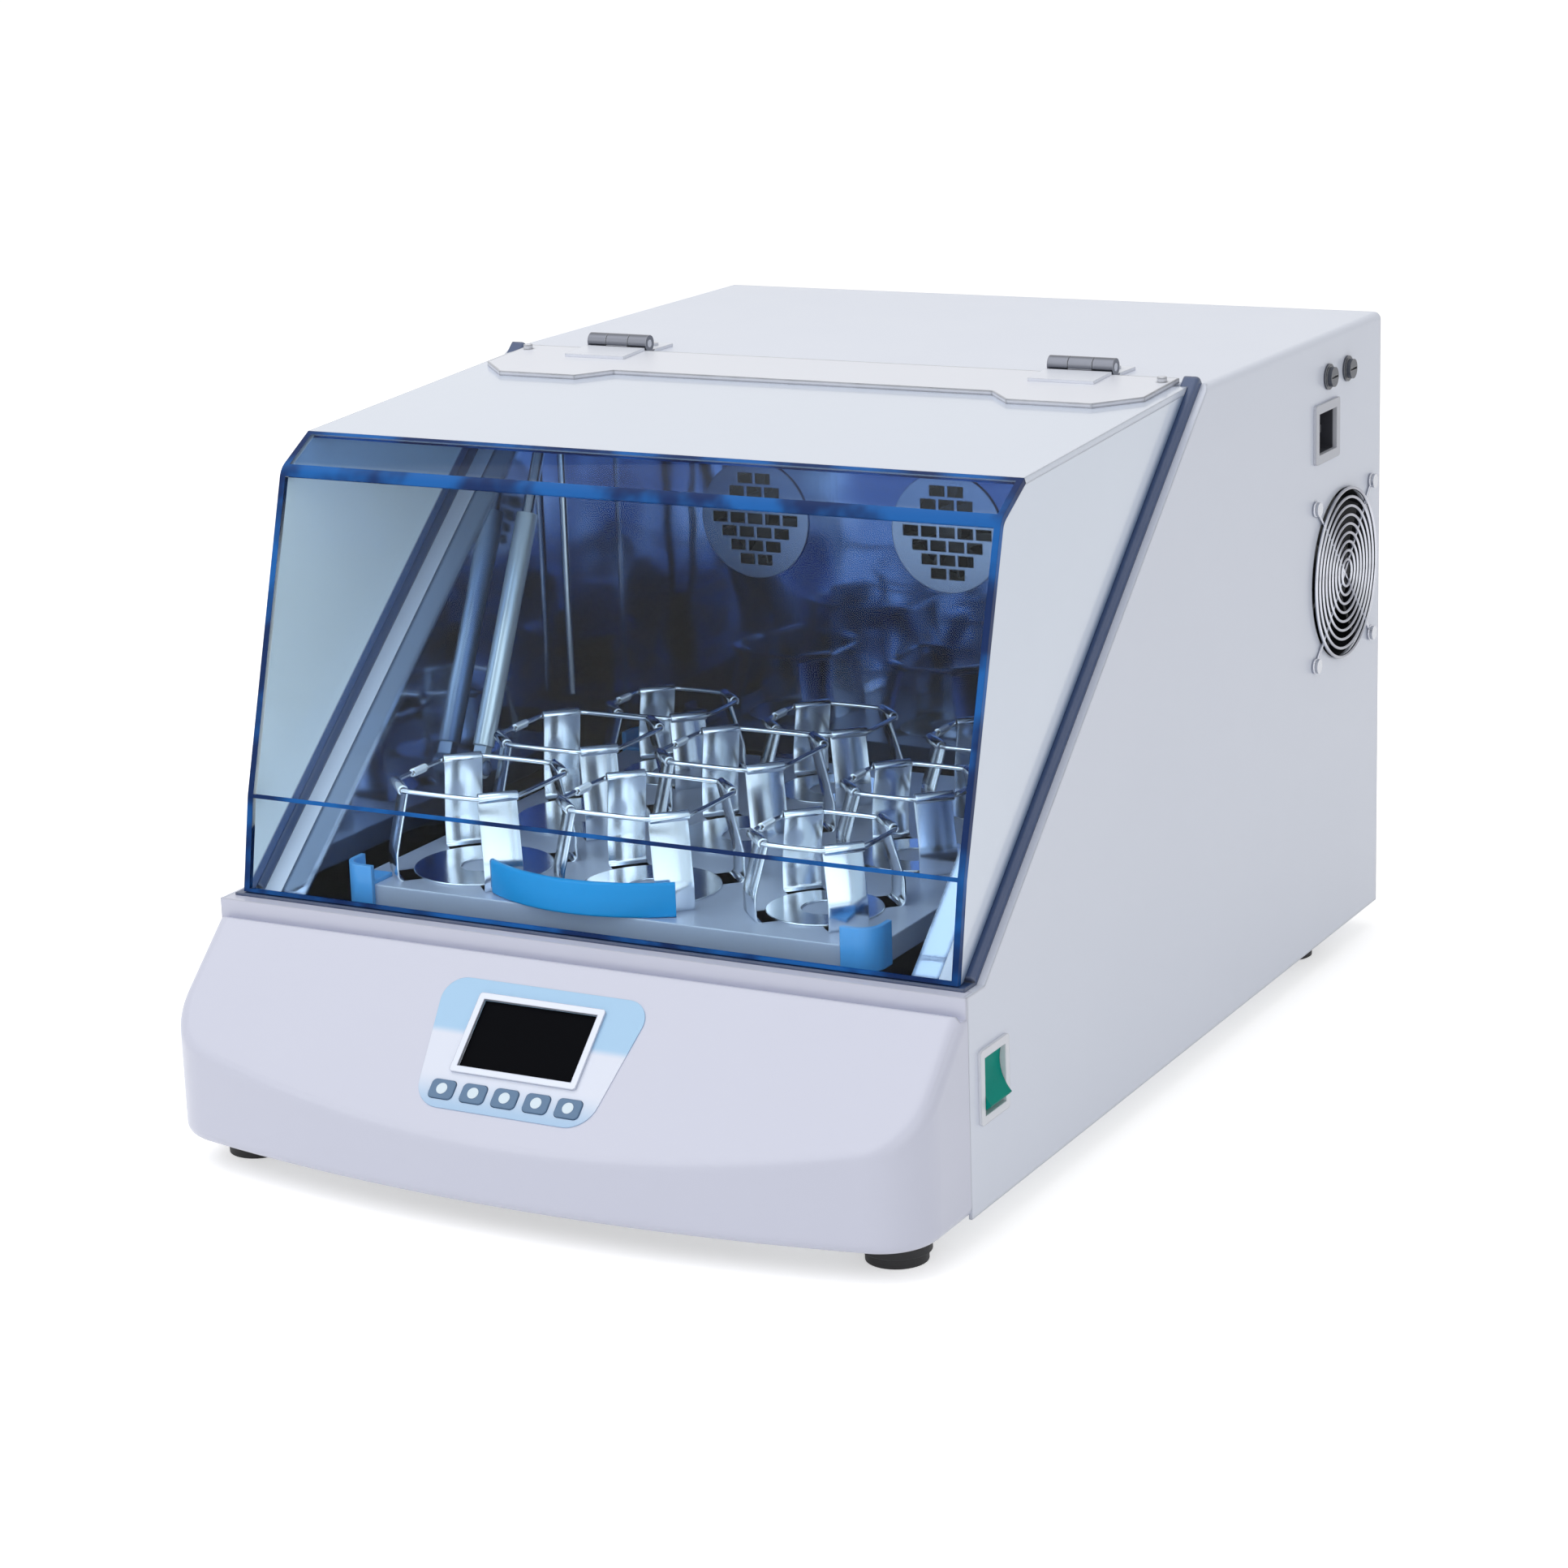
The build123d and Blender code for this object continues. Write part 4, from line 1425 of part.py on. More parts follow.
HANDLE_HALF = HANDLE_CHORD / 2
with BuildPart() as pull_handle:
    with BuildSketch(Plane.XY.offset(PLATFORM_TOP_Z)):
        with BuildLine():
            outer_bow = ThreePointArc(
                (HANDLE_X - HANDLE_HALF, HANDLE_BACK_Y),
                (HANDLE_X, HANDLE_FRONT_Y),
                (HANDLE_X + HANDLE_HALF, HANDLE_BACK_Y),
            )
            inner_bow = ThreePointArc(
                (HANDLE_X - HANDLE_HALF + HANDLE_THICKNESS, HANDLE_BACK_Y),
                (HANDLE_X, HANDLE_FRONT_Y + HANDLE_THICKNESS),
                (HANDLE_X + HANDLE_HALF - HANDLE_THICKNESS, HANDLE_BACK_Y),
            )
            Line(outer_bow @ 0, inner_bow @ 0)
            Line(outer_bow @ 1, inner_bow @ 1)
        make_face()
    extrude(amount=HANDLE_HEIGHT)
save(pull_handle.part, "pull_handle")


# ---- Flask clamps: sprung strips round a base plate, drawn in by a wire ring ----
def clamp_centre(place):
    """The middle of a clamp, from its column and row."""
    return (place[0] * CLAMP_PITCH, CLAMP_ROW_Y + place[1] * CLAMP_PITCH)


def clamps(places, base_radius, neck_radius, neck_height):
    """Base plates with four strips each; a strip rises, leans in to the neck and flares at its tip."""
    floor_z = PLATFORM_TOP_Z
    outside = [
        (base_radius / 2, floor_z),
        (base_radius + CLAMP_SHEET, floor_z),
        (base_radius + CLAMP_SHEET, floor_z + CLAMP_SHOULDER_HEIGHT),
        (neck_radius + CLAMP_SHEET, floor_z + neck_height),
        (neck_radius + CLAMP_SHEET + CLAMP_TIP_FLARE, floor_z + neck_height + CLAMP_TIP_HEIGHT),
    ]
    inside = inset(outside, CLAMP_SHEET)
    tip = inside[-1]
    for place in places:
        x, y = clamp_centre(place)
        upright([(x, y)], base_radius * CLAMP_PLATE_SHARE, floor_z, floor_z + CLAMP_SHEET)
        for quarter in range(4):
            turn = pi / 4 + quarter * pi / 2
            out = (cos(turn), sin(turn), 0)
            plane = Plane(origin=(x, y, 0), x_dir=out, z_dir=(sin(turn), -cos(turn), 0))
            with BuildSketch(plane) as strip:
                with BuildLine():
                    Polyline(*outside, tip, *reversed(inside[:-1]), close=True)
                make_face()
            extrude(strip.sketch, amount=CLAMP_STRIP_WIDTH / 2, both=True)
        upright([(x, y)], CLAMP_HOLE_RADIUS, floor_z, floor_z + CLAMP_SHEET, mode=Mode.SUBTRACT)


with BuildPart() as flask_clamps_large:
    clamps(LARGE_PLACES, LARGE_BASE_RADIUS, LARGE_NECK_RADIUS, LARGE_NECK_HEIGHT)
save(flask_clamps_large.part, "flask_clamps_large")

with BuildPart() as flask_clamps_small:
    clamps(SMALL_PLACES, SMALL_BASE_RADIUS, SMALL_NECK_RADIUS, SMALL_NECK_HEIGHT)
save(flask_clamps_small.part, "flask_clamps_small")

with BuildPart() as clamp_rings:
    for places, neck_radius, neck_height in (
        (LARGE_PLACES, LARGE_NECK_RADIUS, LARGE_NECK_HEIGHT),
        (SMALL_PLACES, SMALL_NECK_RADIUS, SMALL_NECK_HEIGHT),
    ):
        corner = hypot(neck_radius + CLAMP_SHEET, CLAMP_STRIP_WIDTH / 2)
        spots = [(*clamp_centre(place), PLATFORM_TOP_Z + neck_height) for place in places]
        with Locations(*spots):
            Torus(corner + RING_WIRE + RING_GAP, RING_WIRE)
save(clamp_rings.part, "clamp_rings")
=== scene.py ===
"""An incubated benchtop shaker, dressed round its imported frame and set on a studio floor."""

import json
import math

import bmesh
import bpy
from mathutils import Matrix, Vector

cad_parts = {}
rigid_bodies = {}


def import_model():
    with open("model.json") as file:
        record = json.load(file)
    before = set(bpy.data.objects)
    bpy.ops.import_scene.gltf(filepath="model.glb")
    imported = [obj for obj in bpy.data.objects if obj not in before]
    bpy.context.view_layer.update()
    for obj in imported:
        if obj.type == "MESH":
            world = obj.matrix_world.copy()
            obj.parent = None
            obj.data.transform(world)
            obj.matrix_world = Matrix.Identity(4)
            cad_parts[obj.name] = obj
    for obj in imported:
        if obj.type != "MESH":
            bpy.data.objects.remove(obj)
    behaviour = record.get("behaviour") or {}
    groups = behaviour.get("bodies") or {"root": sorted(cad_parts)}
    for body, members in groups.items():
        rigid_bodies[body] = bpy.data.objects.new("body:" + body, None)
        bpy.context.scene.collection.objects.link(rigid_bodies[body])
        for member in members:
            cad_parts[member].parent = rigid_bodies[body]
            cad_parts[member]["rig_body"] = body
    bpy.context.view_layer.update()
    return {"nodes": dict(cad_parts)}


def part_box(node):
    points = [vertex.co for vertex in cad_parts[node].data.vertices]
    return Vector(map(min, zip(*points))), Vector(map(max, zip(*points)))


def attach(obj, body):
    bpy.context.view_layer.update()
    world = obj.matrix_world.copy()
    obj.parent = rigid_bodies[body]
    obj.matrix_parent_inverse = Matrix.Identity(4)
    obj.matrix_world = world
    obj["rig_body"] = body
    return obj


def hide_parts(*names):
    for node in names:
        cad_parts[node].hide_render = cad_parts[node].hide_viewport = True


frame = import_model()

bl_info = {
    "name": "Benchtop incubator shaker",
    "version": (1, 0, 0),
    "blender": (4, 5, 0),
    "location": "View3D > Sidebar > Shaker",
    "description": "Dresses the shaker's frame with finishes, a clear hood, flask clamps and a studio",
    "category": "Object",
}

# ---- Places on the frame, in metres: (y, z) pairs lie in the side view ----
HOOD_OUTLINE = ((-0.174, 0.4163), (-0.205, 0.3986), (-0.261, 0.208), (-0.2715, 0.1503))
HOOD_HALF = 0.24
CLAMP_PITCH = 0.117
CLAMP_ROW_Y = -0.192
TRAY_TOP = 0.158
LARGE_PLACES = ((-1, 0), (0, 0), (-1, 1), (0, 1))
SMALL_PLACES = ((1, 0), (1, 1), (-1, 2), (0, 2), (1, 2))
LARGE_CLAMP = (0.0535, 0.045, 0.057)  # radius at the plate, radius at the ring, height
SMALL_CLAMP = (0.0435, 0.035, 0.048)
RING_DROP = 0.001
ROLLED_TIP = 0.0032
STRIP_BEND = 0.0032
STRIP_RISE = 0.016
PLATE_HOLE = 0.014
SPRING_LENGTH = 0.014
SPRING_TURNS = 9
SPRING_STEPS = 14
SPRING_WIRE = 0.0008
DOT_RISE = 0.00015
HANDLE_MIDDLE = (-0.018, -0.2585)
HANDLE_HALF = 0.063
HANDLE_BOW = 0.0185
HANDLE_THICK = 0.004
HANDLE_TALL = 0.021
SLOPE = math.radians(43.0)
SLOPE_TOP = Vector((-0.006, -0.288, 0.138))
SLOPE_DOWN = Vector((0, -math.cos(SLOPE), -math.sin(SLOPE)))
SLOPE_OUT = Vector((0, -math.sin(SLOPE), math.cos(SLOPE)))
MOUTH_SILL = Vector((0, -0.258, 0.148))
MOUTH_OUT = Vector((0, -0.282, 0.33)).normalized()
HINGE_LINE = (0.076, 0.4365)
FAN_LINE = (0.305, 0.266)
STRIP_TURNS = [math.pi / 4 + quarter * math.pi / 2 for quarter in range(4)]

# ---- The stage: where the lamps and the camera stand, in metres ----
LAMPS = (
    ("light_top", (-0.6, -0.6, 2.6), 2.6, 26.0),
    ("light_front", (-1.2, -2.4, 1.5), 1.8, 12.0),
    ("light_side", (2.0, -1.9, 1.2), 1.8, 8.0),
)
LAMPS_LOOK_AT = Vector((0, 0, 0.2))
CAMERA_PLACE = (1.1259, -2.0849, 0.8175)
CAMERA_TURN, CAMERA_LOOK, CAMERA_ROLL = (math.radians(angle) for angle in (28.64, 15.22, -1.91))
CAMERA_LENS = 88.65


def plain(red, green, blue):
    """A screen colour of 0 to 255 a channel as the linear colour that a shader takes."""
    shares = (channel / 255 for channel in (red, green, blue))
    return tuple(((share + 0.055) / 1.055) ** 2.4 if share > 0.04 else share / 12.92 for share in shares)


class ShakerColours(bpy.types.PropertyGroup):
    """The colours that a user would change."""

    body: bpy.props.FloatVectorProperty(
        name="Body", description="Powder coat of the casing", subtype="COLOR", size=3, min=0, max=1,
        default=plain(214, 220, 234),
    )
    fascia: bpy.props.FloatVectorProperty(
        name="Fascia", description="Moulded plastic of the front", subtype="COLOR", size=3, min=0, max=1,
        default=plain(203, 206, 223),
    )
    tint: bpy.props.FloatVectorProperty(
        name="Hood tint", description="Clear acrylic of the hood", subtype="COLOR", size=3, min=0, max=1,
        default=plain(234, 247, 255),
    )
    edge: bpy.props.FloatVectorProperty(
        name="Hood edge", description="Deep blue of the acrylic's cut edges", subtype="COLOR", size=3, min=0,
        max=1, default=plain(10, 74, 146),
    )
    handle: bpy.props.FloatVectorProperty(
        name="Handle", description="Pull handle of the tray", subtype="COLOR", size=3, min=0, max=1,
        default=plain(0, 138, 200),
    )
    cap: bpy.props.FloatVectorProperty(
        name="Corner caps", description="Corner caps of the tray", subtype="COLOR", size=3, min=0, max=1,
        default=plain(72, 150, 212),
    )


class ShakerSizes(bpy.types.PropertyGroup):
    """The sizes that a user would change."""

    hood_sheet: bpy.props.FloatProperty(
        name="Hood sheet", description="Thickness of the clear sheet", default=0.004, unit="LENGTH"
    )
    wire: bpy.props.FloatProperty(
        name="Ring wire", description="Radius of the clamp rings' wire", default=0.0015, unit="LENGTH"
    )
    spring_coil: bpy.props.FloatProperty(
        name="Spring coil", description="Radius of the small springs on the rings", default=0.0028,
        unit="LENGTH",
    )
    strip_width: bpy.props.FloatProperty(
        name="Clamp strip", description="Width of a clamp's sprung strips", default=0.024, unit="LENGTH"
    )
    strip_sheet: bpy.props.FloatProperty(
        name="Strip sheet", description="Thickness of a clamp's strips", default=0.0012, unit="LENGTH"
    )
    key_dot: bpy.props.FloatProperty(
        name="Key dot", description="Radius of the pale dot on each key", default=0.0035, unit="LENGTH"
    )


# ---- Shared effects ----
def make_group(name, inputs, outputs):
    """An empty node group with named inputs, each (label, kind, default), and outputs."""
    group = bpy.data.node_groups.new(name, "ShaderNodeTree")
    for label, kind, default in inputs:
        made = group.interface.new_socket(name=label, in_out="INPUT", socket_type=f"NodeSocket{kind}")
        if default is not None:
            made.default_value = default
    for label, kind in outputs:
        group.interface.new_socket(name=label, in_out="OUTPUT", socket_type=f"NodeSocket{kind}")
    return group, group.nodes.new("NodeGroupInput").outputs, group.nodes.new("NodeGroupOutput").inputs


def math_node(tree, operation, first, second, clamp=False):
    """A Math node on two sockets or numbers; gives its output."""
    made = tree.nodes.new("ShaderNodeMath")
    made.operation = operation
    made.use_clamp = clamp
    for place, value in zip(made.inputs, (first, second)):
        if isinstance(value, (int, float)):
            place.default_value = value
        else:
            tree.links.new(value, place)
    return made.outputs[0]


def noise_node(tree, vector, scale, detail=2.0, roughness=0.5):
    """A Noise Texture on a vector; gives its Fac output."""
    made = tree.nodes.new("ShaderNodeTexNoise")
    made.inputs["Detail"].default_value = detail
    made.inputs["Roughness"].default_value = roughness
    tree.links.new(vector, made.inputs["Vector"])
    if isinstance(scale, (int, float)):
        made.inputs["Scale"].default_value = scale
    else:
        tree.links.new(scale, made.inputs["Scale"])
    return made.outputs["Fac"]


def mix_colour(tree, factor, first, second):
    """A Mix node on two colours; gives its colour output."""
    made = tree.nodes.new("ShaderNodeMix")
    made.data_type = "RGBA"
    for label, value in (("Factor", factor), ("A", first), ("B", second)):
        place = next(s for s in made.inputs if s.name == label and (label == "Factor" or s.type == "RGBA"))
        if isinstance(value, bpy.types.NodeSocket):
            tree.links.new(value, place)
        else:
            place.default_value = value
    return next(s for s in made.outputs if s.type == "RGBA")


def build_grain():
    """Fine surface grain as a height."""
    group, into, out = make_group(
        "Fine grain", (("Vector", "Vector", None), ("Scale", "Float", 900.0)), (("Height", "Float"),)
    )
    group.links.new(noise_node(group, into["Vector"], into["Scale"], 3.0), out["Height"])


def build_drift():
    """A slow drift of shade over the surface."""
    group, into, out = make_group(
        "Shade drift",
        (
            ("Vector", "Vector", None), ("Color", "Color", (1, 1, 1, 1)), ("Amount", "Float", 0.04),
            ("Scale", "Float", 7.0),
        ),
        (("Color", "Color"),),
    )
    centred = math_node(group, "SUBTRACT", noise_node(group, into["Vector"], into["Scale"], 4.0, 0.6), 0.5)
    value = math_node(group, "ADD", math_node(group, "MULTIPLY", centred, into["Amount"]), 1.0)
    shade = group.nodes.new("ShaderNodeHueSaturation")
    group.links.new(value, shade.inputs["Value"])
    group.links.new(into["Color"], shade.inputs["Color"])
    group.links.new(shade.outputs[0], out["Color"])


def build_edges():
    """Softened edges, with a colour along them here and there: wear, a painted highlight where the edge
    colour is lighter and painted shade where it is darker.
    """
    group, into, out = make_group(
        "Soft edges",
        (
            ("Vector", "Vector", None), ("Color", "Color", (1, 1, 1, 1)),
            ("Edge Color", "Color", (1, 1, 1, 1)),
            ("Radius", "Float", 0.001), ("Amount", "Float", 0.4),
        ),
        (("Color", "Color"), ("Normal", "Vector")),
    )
    rounded = group.nodes.new("ShaderNodeBevel")
    rounded.samples = 4
    group.links.new(into["Radius"], rounded.inputs["Radius"])
    flat = group.nodes.new("ShaderNodeNewGeometry")
    turn = group.nodes.new("ShaderNodeVectorMath")
    turn.operation = "DOT_PRODUCT"
    group.links.new(rounded.outputs[0], turn.inputs[0])
    group.links.new(flat.outputs["Normal"], turn.inputs[1])
    turned = math_node(group, "SUBTRACT", 1.0, turn.outputs["Value"])
    edge = math_node(group, "MULTIPLY", turned, 6.0, clamp=True)
    patchy = math_node(group, "ADD", noise_node(group, into["Vector"], 60.0, 4.0), 0.25, clamp=True)
    # wear, with a painted highlight or painted shade where the edge colour is lighter or darker
    wear_and_edge_light = math_node(group, "MULTIPLY", edge, patchy)
    mask = math_node(group, "MULTIPLY", wear_and_edge_light, into["Amount"], clamp=True)
    group.links.new(mix_colour(group, mask, into["Color"], into["Edge Color"]), out["Color"])
    group.links.new(rounded.outputs[0], out["Normal"])


def build_brushing():
    """Long fine lines, as left by brushing or drawing, as a height."""
    group, into, out = make_group(
        "Brushed lines", (("Vector", "Vector", None), ("Scale", "Float", 300.0)), (("Height", "Float"),)
    )
    group.links.new(noise_node(group, into["Vector"], into["Scale"], 3.0, 0.7), out["Height"])


def build_smudges():
    """Uneven gloss, from handling and wiping."""
    group, into, out = make_group(
        "Smudges",
        (
            ("Vector", "Vector", None), ("Roughness", "Float", 0.4), ("Amount", "Float", 0.08),
            ("Scale", "Float", 18.0),
        ),
        (("Roughness", "Float"),),
    )
    centred = math_node(group, "SUBTRACT", noise_node(group, into["Vector"], into["Scale"], 5.0, 0.65), 0.5)
    spread = math_node(group, "MULTIPLY", centred, into["Amount"])
    group.links.new(math_node(group, "ADD", spread, into["Roughness"], clamp=True), out["Roughness"])


def build_groups():
    """Builds the shared effects once."""
    for build in (build_grain, build_drift, build_edges, build_brushing, build_smudges):
        build()


def place_group(tree, name, **values):
    """Places a shared effect; a value is a number, a colour or a socket."""
    made = tree.nodes.new("ShaderNodeGroup")
    made.node_tree = bpy.data.node_groups[name]
    for key, value in values.items():
        place = made.inputs[key.replace("_", " ").title()]
        if isinstance(value, bpy.types.NodeSocket):
            tree.links.new(value, place)
        elif place.type == "RGBA":
            place.default_value = (*value[:3], 1)
        else:
            place.default_value = value
    return made


def lighter(colour, share):
    """A colour moved towards white, or towards black for a share below nothing."""
    if share < 0:
        return tuple(c * (1 + share) for c in colour)
    return tuple(c + (1 - c) * share for c in colour)


def start_material(name, colour):
    """A material with its shader and the object's coordinates."""
    material = bpy.data.materials.new(name)
    material.use_nodes = True
    tree = material.node_tree
    material.diffuse_color = (*colour, 1)
    where = tree.nodes.new("ShaderNodeTexCoord").outputs["Object"]
    return material, tree, tree.nodes["Principled BSDF"], where


def finish(
    name, colour, roughness, metallic=0.0, grain=900.0, depth=0.15, drift=0.04, drift_scale=7.0, edge=0.25,
    radius=0.001,
    amount=0.35, smudge=0.08, stretch=None, coat=0.0, distance=0.0002, painted=None, ripple=0.0, shine=0.5,
):
    """A finish with drifting shade, soft edges that carry wear with a painted highlight (painted shade where
    edge is below nothing), uneven gloss and a fine grain or brushed lines.
    """
    material, tree, shader, where = start_material(name, colour)
    base = colour if painted is None else painted(tree, where)
    drifted = place_group(tree, "Shade drift", vector=where, color=base, amount=drift, scale=drift_scale)
    edges = place_group(
        tree, "Soft edges", vector=where, color=drifted.outputs["Color"], edge_color=lighter(colour, edge),
        radius=radius, amount=amount,
    )
    tree.links.new(edges.outputs["Color"], shader.inputs["Base Color"])
    gloss = place_group(tree, "Smudges", vector=where, roughness=roughness, amount=smudge)
    tree.links.new(gloss.outputs["Roughness"], shader.inputs["Roughness"])
    if callable(metallic):
        tree.links.new(metallic(tree, where), shader.inputs["Metallic"])
    else:
        shader.inputs["Metallic"].default_value = metallic
    shader.inputs["Coat Weight"].default_value = coat
    shader.inputs["Specular IOR Level"].default_value = shine
    shader.inputs["Coat Roughness"].default_value = 0.08
    if stretch is None:
        relief = place_group(tree, "Fine grain", vector=where, scale=grain).outputs["Height"]
    else:
        mapping = tree.nodes.new("ShaderNodeMapping")
        mapping.inputs["Scale"].default_value = stretch
        tree.links.new(where, mapping.inputs["Vector"])
        relief = place_group(tree, "Brushed lines", vector=mapping.outputs[0], scale=grain).outputs["Height"]
    bump = tree.nodes.new("ShaderNodeBump")
    bump.inputs["Strength"].default_value = depth
    bump.inputs["Distance"].default_value = distance
    tree.links.new(relief, bump.inputs["Height"])
    last = edges.outputs["Normal"]
    if ripple:
        wave = tree.nodes.new("ShaderNodeBump")
        wave.inputs["Strength"].default_value = ripple
        wave.inputs["Distance"].default_value = 0.004
        tree.links.new(noise_node(tree, where, 16.0, 1.0), wave.inputs["Height"])
        tree.links.new(last, wave.inputs["Normal"])
        last = wave.outputs[0]
    tree.links.new(last, bump.inputs["Normal"])
    tree.links.new(bump.outputs[0], shader.inputs["Normal"])
    return material


def clear_finish(name, colour, roughness=0.005, shadow=0.04):
    """Clear acrylic: tinted, with a deeper tint on the brow as painted shade, faintly uneven, and letting
    most of the light through to what it covers.
    """
    material, tree, shader, where = start_material(name, colour)
    # painted shade: the brow above the upper bend takes a deeper blue tint
    brow = ease(tree, along(tree, where, (0, 0, 1)), HOOD_OUTLINE[1][1], HOOD_OUTLINE[1][1] + 0.002)
    tinted = mix_colour(tree, brow, (*colour, 1), (*plain(158, 190, 226), 1))
    drifted = place_group(tree, "Shade drift", vector=where, color=tinted, amount=0.03, scale=5.0)
    tree.links.new(drifted.outputs["Color"], shader.inputs["Base Color"])
    gloss = place_group(tree, "Smudges", vector=where, roughness=roughness, amount=0.01)
    tree.links.new(gloss.outputs["Roughness"], shader.inputs["Roughness"])
    shader.inputs["Transmission Weight"].default_value = 1.0
    shader.inputs["IOR"].default_value = 1.16
    bump = tree.nodes.new("ShaderNodeBump")
    bump.inputs["Strength"].default_value = 0.03
    bump.inputs["Distance"].default_value = 0.001
    tree.links.new(noise_node(tree, where, 9.0, 1.0), bump.inputs["Height"])
    tree.links.new(bump.outputs[0], shader.inputs["Normal"])
    path = tree.nodes.new("ShaderNodeLightPath")
    dim = math_node(tree, "MULTIPLY", path.outputs["Is Shadow Ray"], 1 - shadow)
    tree.links.new(math_node(tree, "SUBTRACT", 1.0, dim), shader.inputs["Alpha"])
    return material


def along(tree, where, axis, start=0.0):
    """How far a point lies along a direction, from a starting value."""
    made = tree.nodes.new("ShaderNodeVectorMath")
    made.operation = "DOT_PRODUCT"
    made.inputs[1].default_value = axis
    tree.links.new(where, made.inputs[0])
    return math_node(tree, "SUBTRACT", made.outputs["Value"], start)


def across_line(tree, where, y, z):
    """How far a point lies from a line that runs from side to side of the shaker."""
    flat = tree.nodes.new("ShaderNodeVectorMath")
    flat.operation = "MULTIPLY_ADD"
    flat.inputs[1].default_value = (0, 1, 1)
    flat.inputs[2].default_value = (0, -y, -z)
    tree.links.new(where, flat.inputs[0])
    away = tree.nodes.new("ShaderNodeVectorMath")
    away.operation = "LENGTH"
    tree.links.new(flat.outputs[0], away.inputs[0])
    return away.outputs["Value"]


def ease(tree, value, low, high):
    """0 up to a low value and 1 from a high one, eased between them."""
    made = tree.nodes.new("ShaderNodeMapRange")
    made.interpolation_type = "SMOOTHSTEP"
    made.inputs["From Min"].default_value = low
    made.inputs["From Max"].default_value = high
    tree.links.new(value, made.inputs["Value"])
    return made.outputs[0]


def blend(tree, factor, first, second):
    """A colour between two screen colours or sockets."""
    pair = (
        value if isinstance(value, bpy.types.NodeSocket) else (*plain(*value), 1) for value in (first, second)
    )
    return mix_colour(tree, factor, *pair)


def film_colours(tree, where):
    """The control film's pale blue, and the whitish band under the display."""
    down = along(tree, where, SLOPE_DOWN, SLOPE_TOP.dot(SLOPE_DOWN))
    upper = blend(tree, ease(tree, down, 0.049, 0.055), (166, 204, 236), (222, 228, 243))
    return blend(tree, ease(tree, down, 0.078, 0.102), upper, (166, 198, 230))


def liner_painted_light(tree, where):
    """Bright metal at the rim round the mouth, and behind it the chamber's depth darkened as painted shade
    and streaked with painted reflections.
    """
    out = along(tree, where, MOUTH_OUT, MOUTH_SILL.dot(MOUTH_OUT))
    # painted reflections: noise mixes a dark and a light blue over the chamber's depth
    reflection_patches = ease(tree, noise_node(tree, where, 5.0, 3.0), 0.4, 0.6)
    inner = blend(tree, reflection_patches, (66, 90, 138), (168, 186, 214))
    return blend(tree, ease(tree, out, -0.008, -0.003), inner, (166, 180, 204))


def cut_edge_painted_glints(tree, where):
    """The deep blue and the painted glints of lit blue that take turns along the hood's cut edges."""
    return blend(tree, ease(tree, noise_node(tree, where, 22.0, 3.0), 0.4, 0.62), (6, 40, 92), (20, 96, 172))


def side_painted_light(tree, where):
    """The lid's side: its inner face lifted near white as painted light, and on both faces a slate blue band
    beside the seal, painted as the seal's shade and reflection.
    """
    out = along(tree, where, MOUTH_OUT, MOUTH_SILL.dot(MOUTH_OUT))
    # painted shade and reflection of the seal: slate blue bands beside it; painted light: the inner face
    # lifted near white
    outside = blend(tree, ease(tree, out, 0.006, 0.014), (112, 134, 168), (214, 224, 240))
    inside = blend(tree, ease(tree, out, 0.012, 0.0145), (36, 76, 132), (244, 252, 255))
    reach = math_node(tree, "ABSOLUTE", along(tree, where, (1, 0, 0)), 0.0)
    return blend(tree, ease(tree, reach, HOOD_HALF - 0.0026, HOOD_HALF - 0.0014), inside, outside)


def leaf_mask(tree, where):
    """0 on a hinge's knuckles and 1 on its leaves."""
    return ease(tree, across_line(tree, where, *HINGE_LINE), 0.0072, 0.0082)


def hinge_colours(tree, where):
    """Bare metal round the knuckles, and paint on the leaves beyond them."""
    return blend(tree, leaf_mask(tree, where), (112, 115, 124), (222, 226, 236))


def hinge_metal(tree, where):
    """Metal round the knuckles only."""
    return math_node(tree, "SUBTRACT", 1.0, leaf_mask(tree, where))


def inlet_colours(tree, where):
    """A pale frame round the inlet's dark well."""
    frame_mask = ease(tree, along(tree, where, (1, 0, 0)), 0.2485, 0.2497)
    return blend(tree, frame_mask, (58, 60, 68), (196, 199, 208))


def guard_painted_highlight(tree, where):
    """Painted highlight on the fan guard's rings: brighter to the front and the back, duller over and under.
    """
    away = across_line(tree, where, *FAN_LINE)
    side = math_node(tree, "ABSOLUTE", along(tree, where, (0, 1, 0), FAN_LINE[0]), 0.0)
    share = math_node(tree, "DIVIDE", side, math_node(tree, "ADD", away, 0.0001))
    return blend(tree, ease(tree, share, 0.45, 0.85), (150, 152, 162), (202, 205, 214))


def heat_colours(tree, where):
    """Straw and blue heat marks along the heater's sheath."""
    ramp = tree.nodes.new("ShaderNodeValToRGB")
    ramp.color_ramp.elements[0].color = (*plain(120, 108, 96), 1)
    ramp.color_ramp.elements[1].color = (*plain(92, 98, 120), 1)
    tree.links.new(noise_node(tree, where, 30.0, 3.0), ramp.inputs["Fac"])
    return ramp.outputs["Color"]


